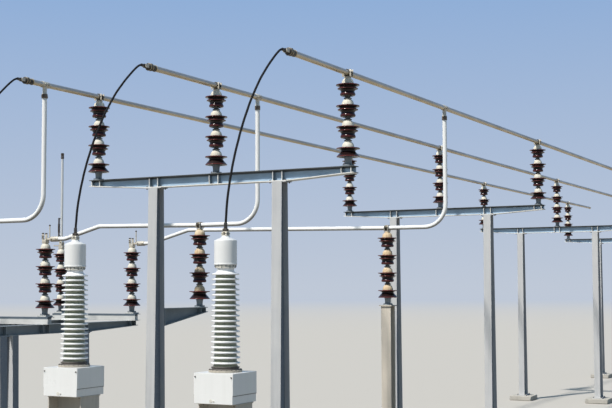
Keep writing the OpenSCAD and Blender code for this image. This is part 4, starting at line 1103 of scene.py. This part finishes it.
# Heads: white enamelled cylinders with a flat dome and a boss for the terminal. A grey band
# of short clips and bolts under the cylinder clamps it to the porcelain.
clip_count, clip_radius = 16, 0.1365
head = paint(turned(
    [(0.113, 0), (0.113, 0.06), (0.147, 0.0605), (0.1505, 0.0625), (0.151, 0.066), (0.151, 0.076),
     (0.1495, 0.079), (0.1475, 0.08), (0.1475, 0.18), (0.1475, 0.28)] + arc(0.1335, 0.367, 0.014, 0, 60)
    + [(0.126, 0.386), (0.106, 0.395), (0.084, 0.403), (0.066, 0.409), (0.0585, 0.412), (0.056, 0.415),
       (0.055, 0.43), (0.052, 0.4335)], 56), white_enamel)
band = [moved(ring(0.112, outer, half, 56), Matrix.Translation((0, 0, z)))
        for outer, half, z in ((0.1385, 0.006, 0.026), (0.1385, 0.006, 0.053), (0.13, 0.016, 0.04))]
clips, clip_bolts = [], []
for k in range(clip_count):
    way = Matrix.Rotation(math.tau * (k + 0.5) / clip_count, 4, "Z") @ Vector((1, 0, 0))
    low, high = [way * clip_radius + Vector((0, 0, z)) for z in (0.036, 0.056)]
    clips.append(rod(low, high, 0.0058, 8, 0.0008))
    clip_bolts.append((way * 0.1335 + Vector((0, 0, 0.0265)), way))
head = join(head, paint(join(*band), band_grey), paint(join(*clips), neck_iron),
            bolts(clip_bolts[::2], 0.0065))
set_on_row(head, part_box("transformer_heads")[0].z, "transformer_domes", "white_paint", "transformer_heads")

# Terminals: four pale lugs round a dark stud on the boss, held between two plates, and a dark
# square clamp on top that takes the jumper's ferrule.
apart = (-0.028, 0.028)
lugs = [rod((0, 0, 0), (0, 0, 0.009), 0.05, 36, 0.002), rod((0, 0, 0.046), (0, 0, 0.056), 0.04, 32, 0.002)]
lugs += [block((x - 0.012, y - 0.012, 0.006), (x + 0.012, y + 0.012, 0.048), 0.003)
         for x in apart for y in apart]
stud = turned([(0.021, 0.004), (0.021, 0.024), (0.017, 0.028), (0.017, 0.05)], 24)
grip = [block((-0.03, y, 0.055), (0.03, y + 0.029, 0.095), 0.004) for y in (-0.03, 0.001)]
grip_bolts = [((x, side * 0.03, 0.076), (0, side, 0)) for x in (-0.019, 0.019) for side in (-1, 1)]
lug_bolts = [((x, side * 0.04, 0.028), (0, side, 0)) for x in apart for side in (-1, 1)]
lug_bolts += [((side * 0.04, y, 0.028), (side, 0, 0)) for y in apart for side in (-1, 1)]
terminal = join(paint(join(*lugs), cap_iron), paint(join(stud, *grip), copper_dark),
                bolts(grip_bolts, 0.0075), bolts(lug_bolts, 0.0065))
set_on_row(terminal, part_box("transformer_terminals")[0].z, "transformer_grips", "fitting_metal",
           "transformer_terminals")

# Sizes of the CAD model and of this one, for comparison.
low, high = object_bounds()
{"cad": [list(cad_low), list(cad_high)], "scene": [list(low), list(high)]}
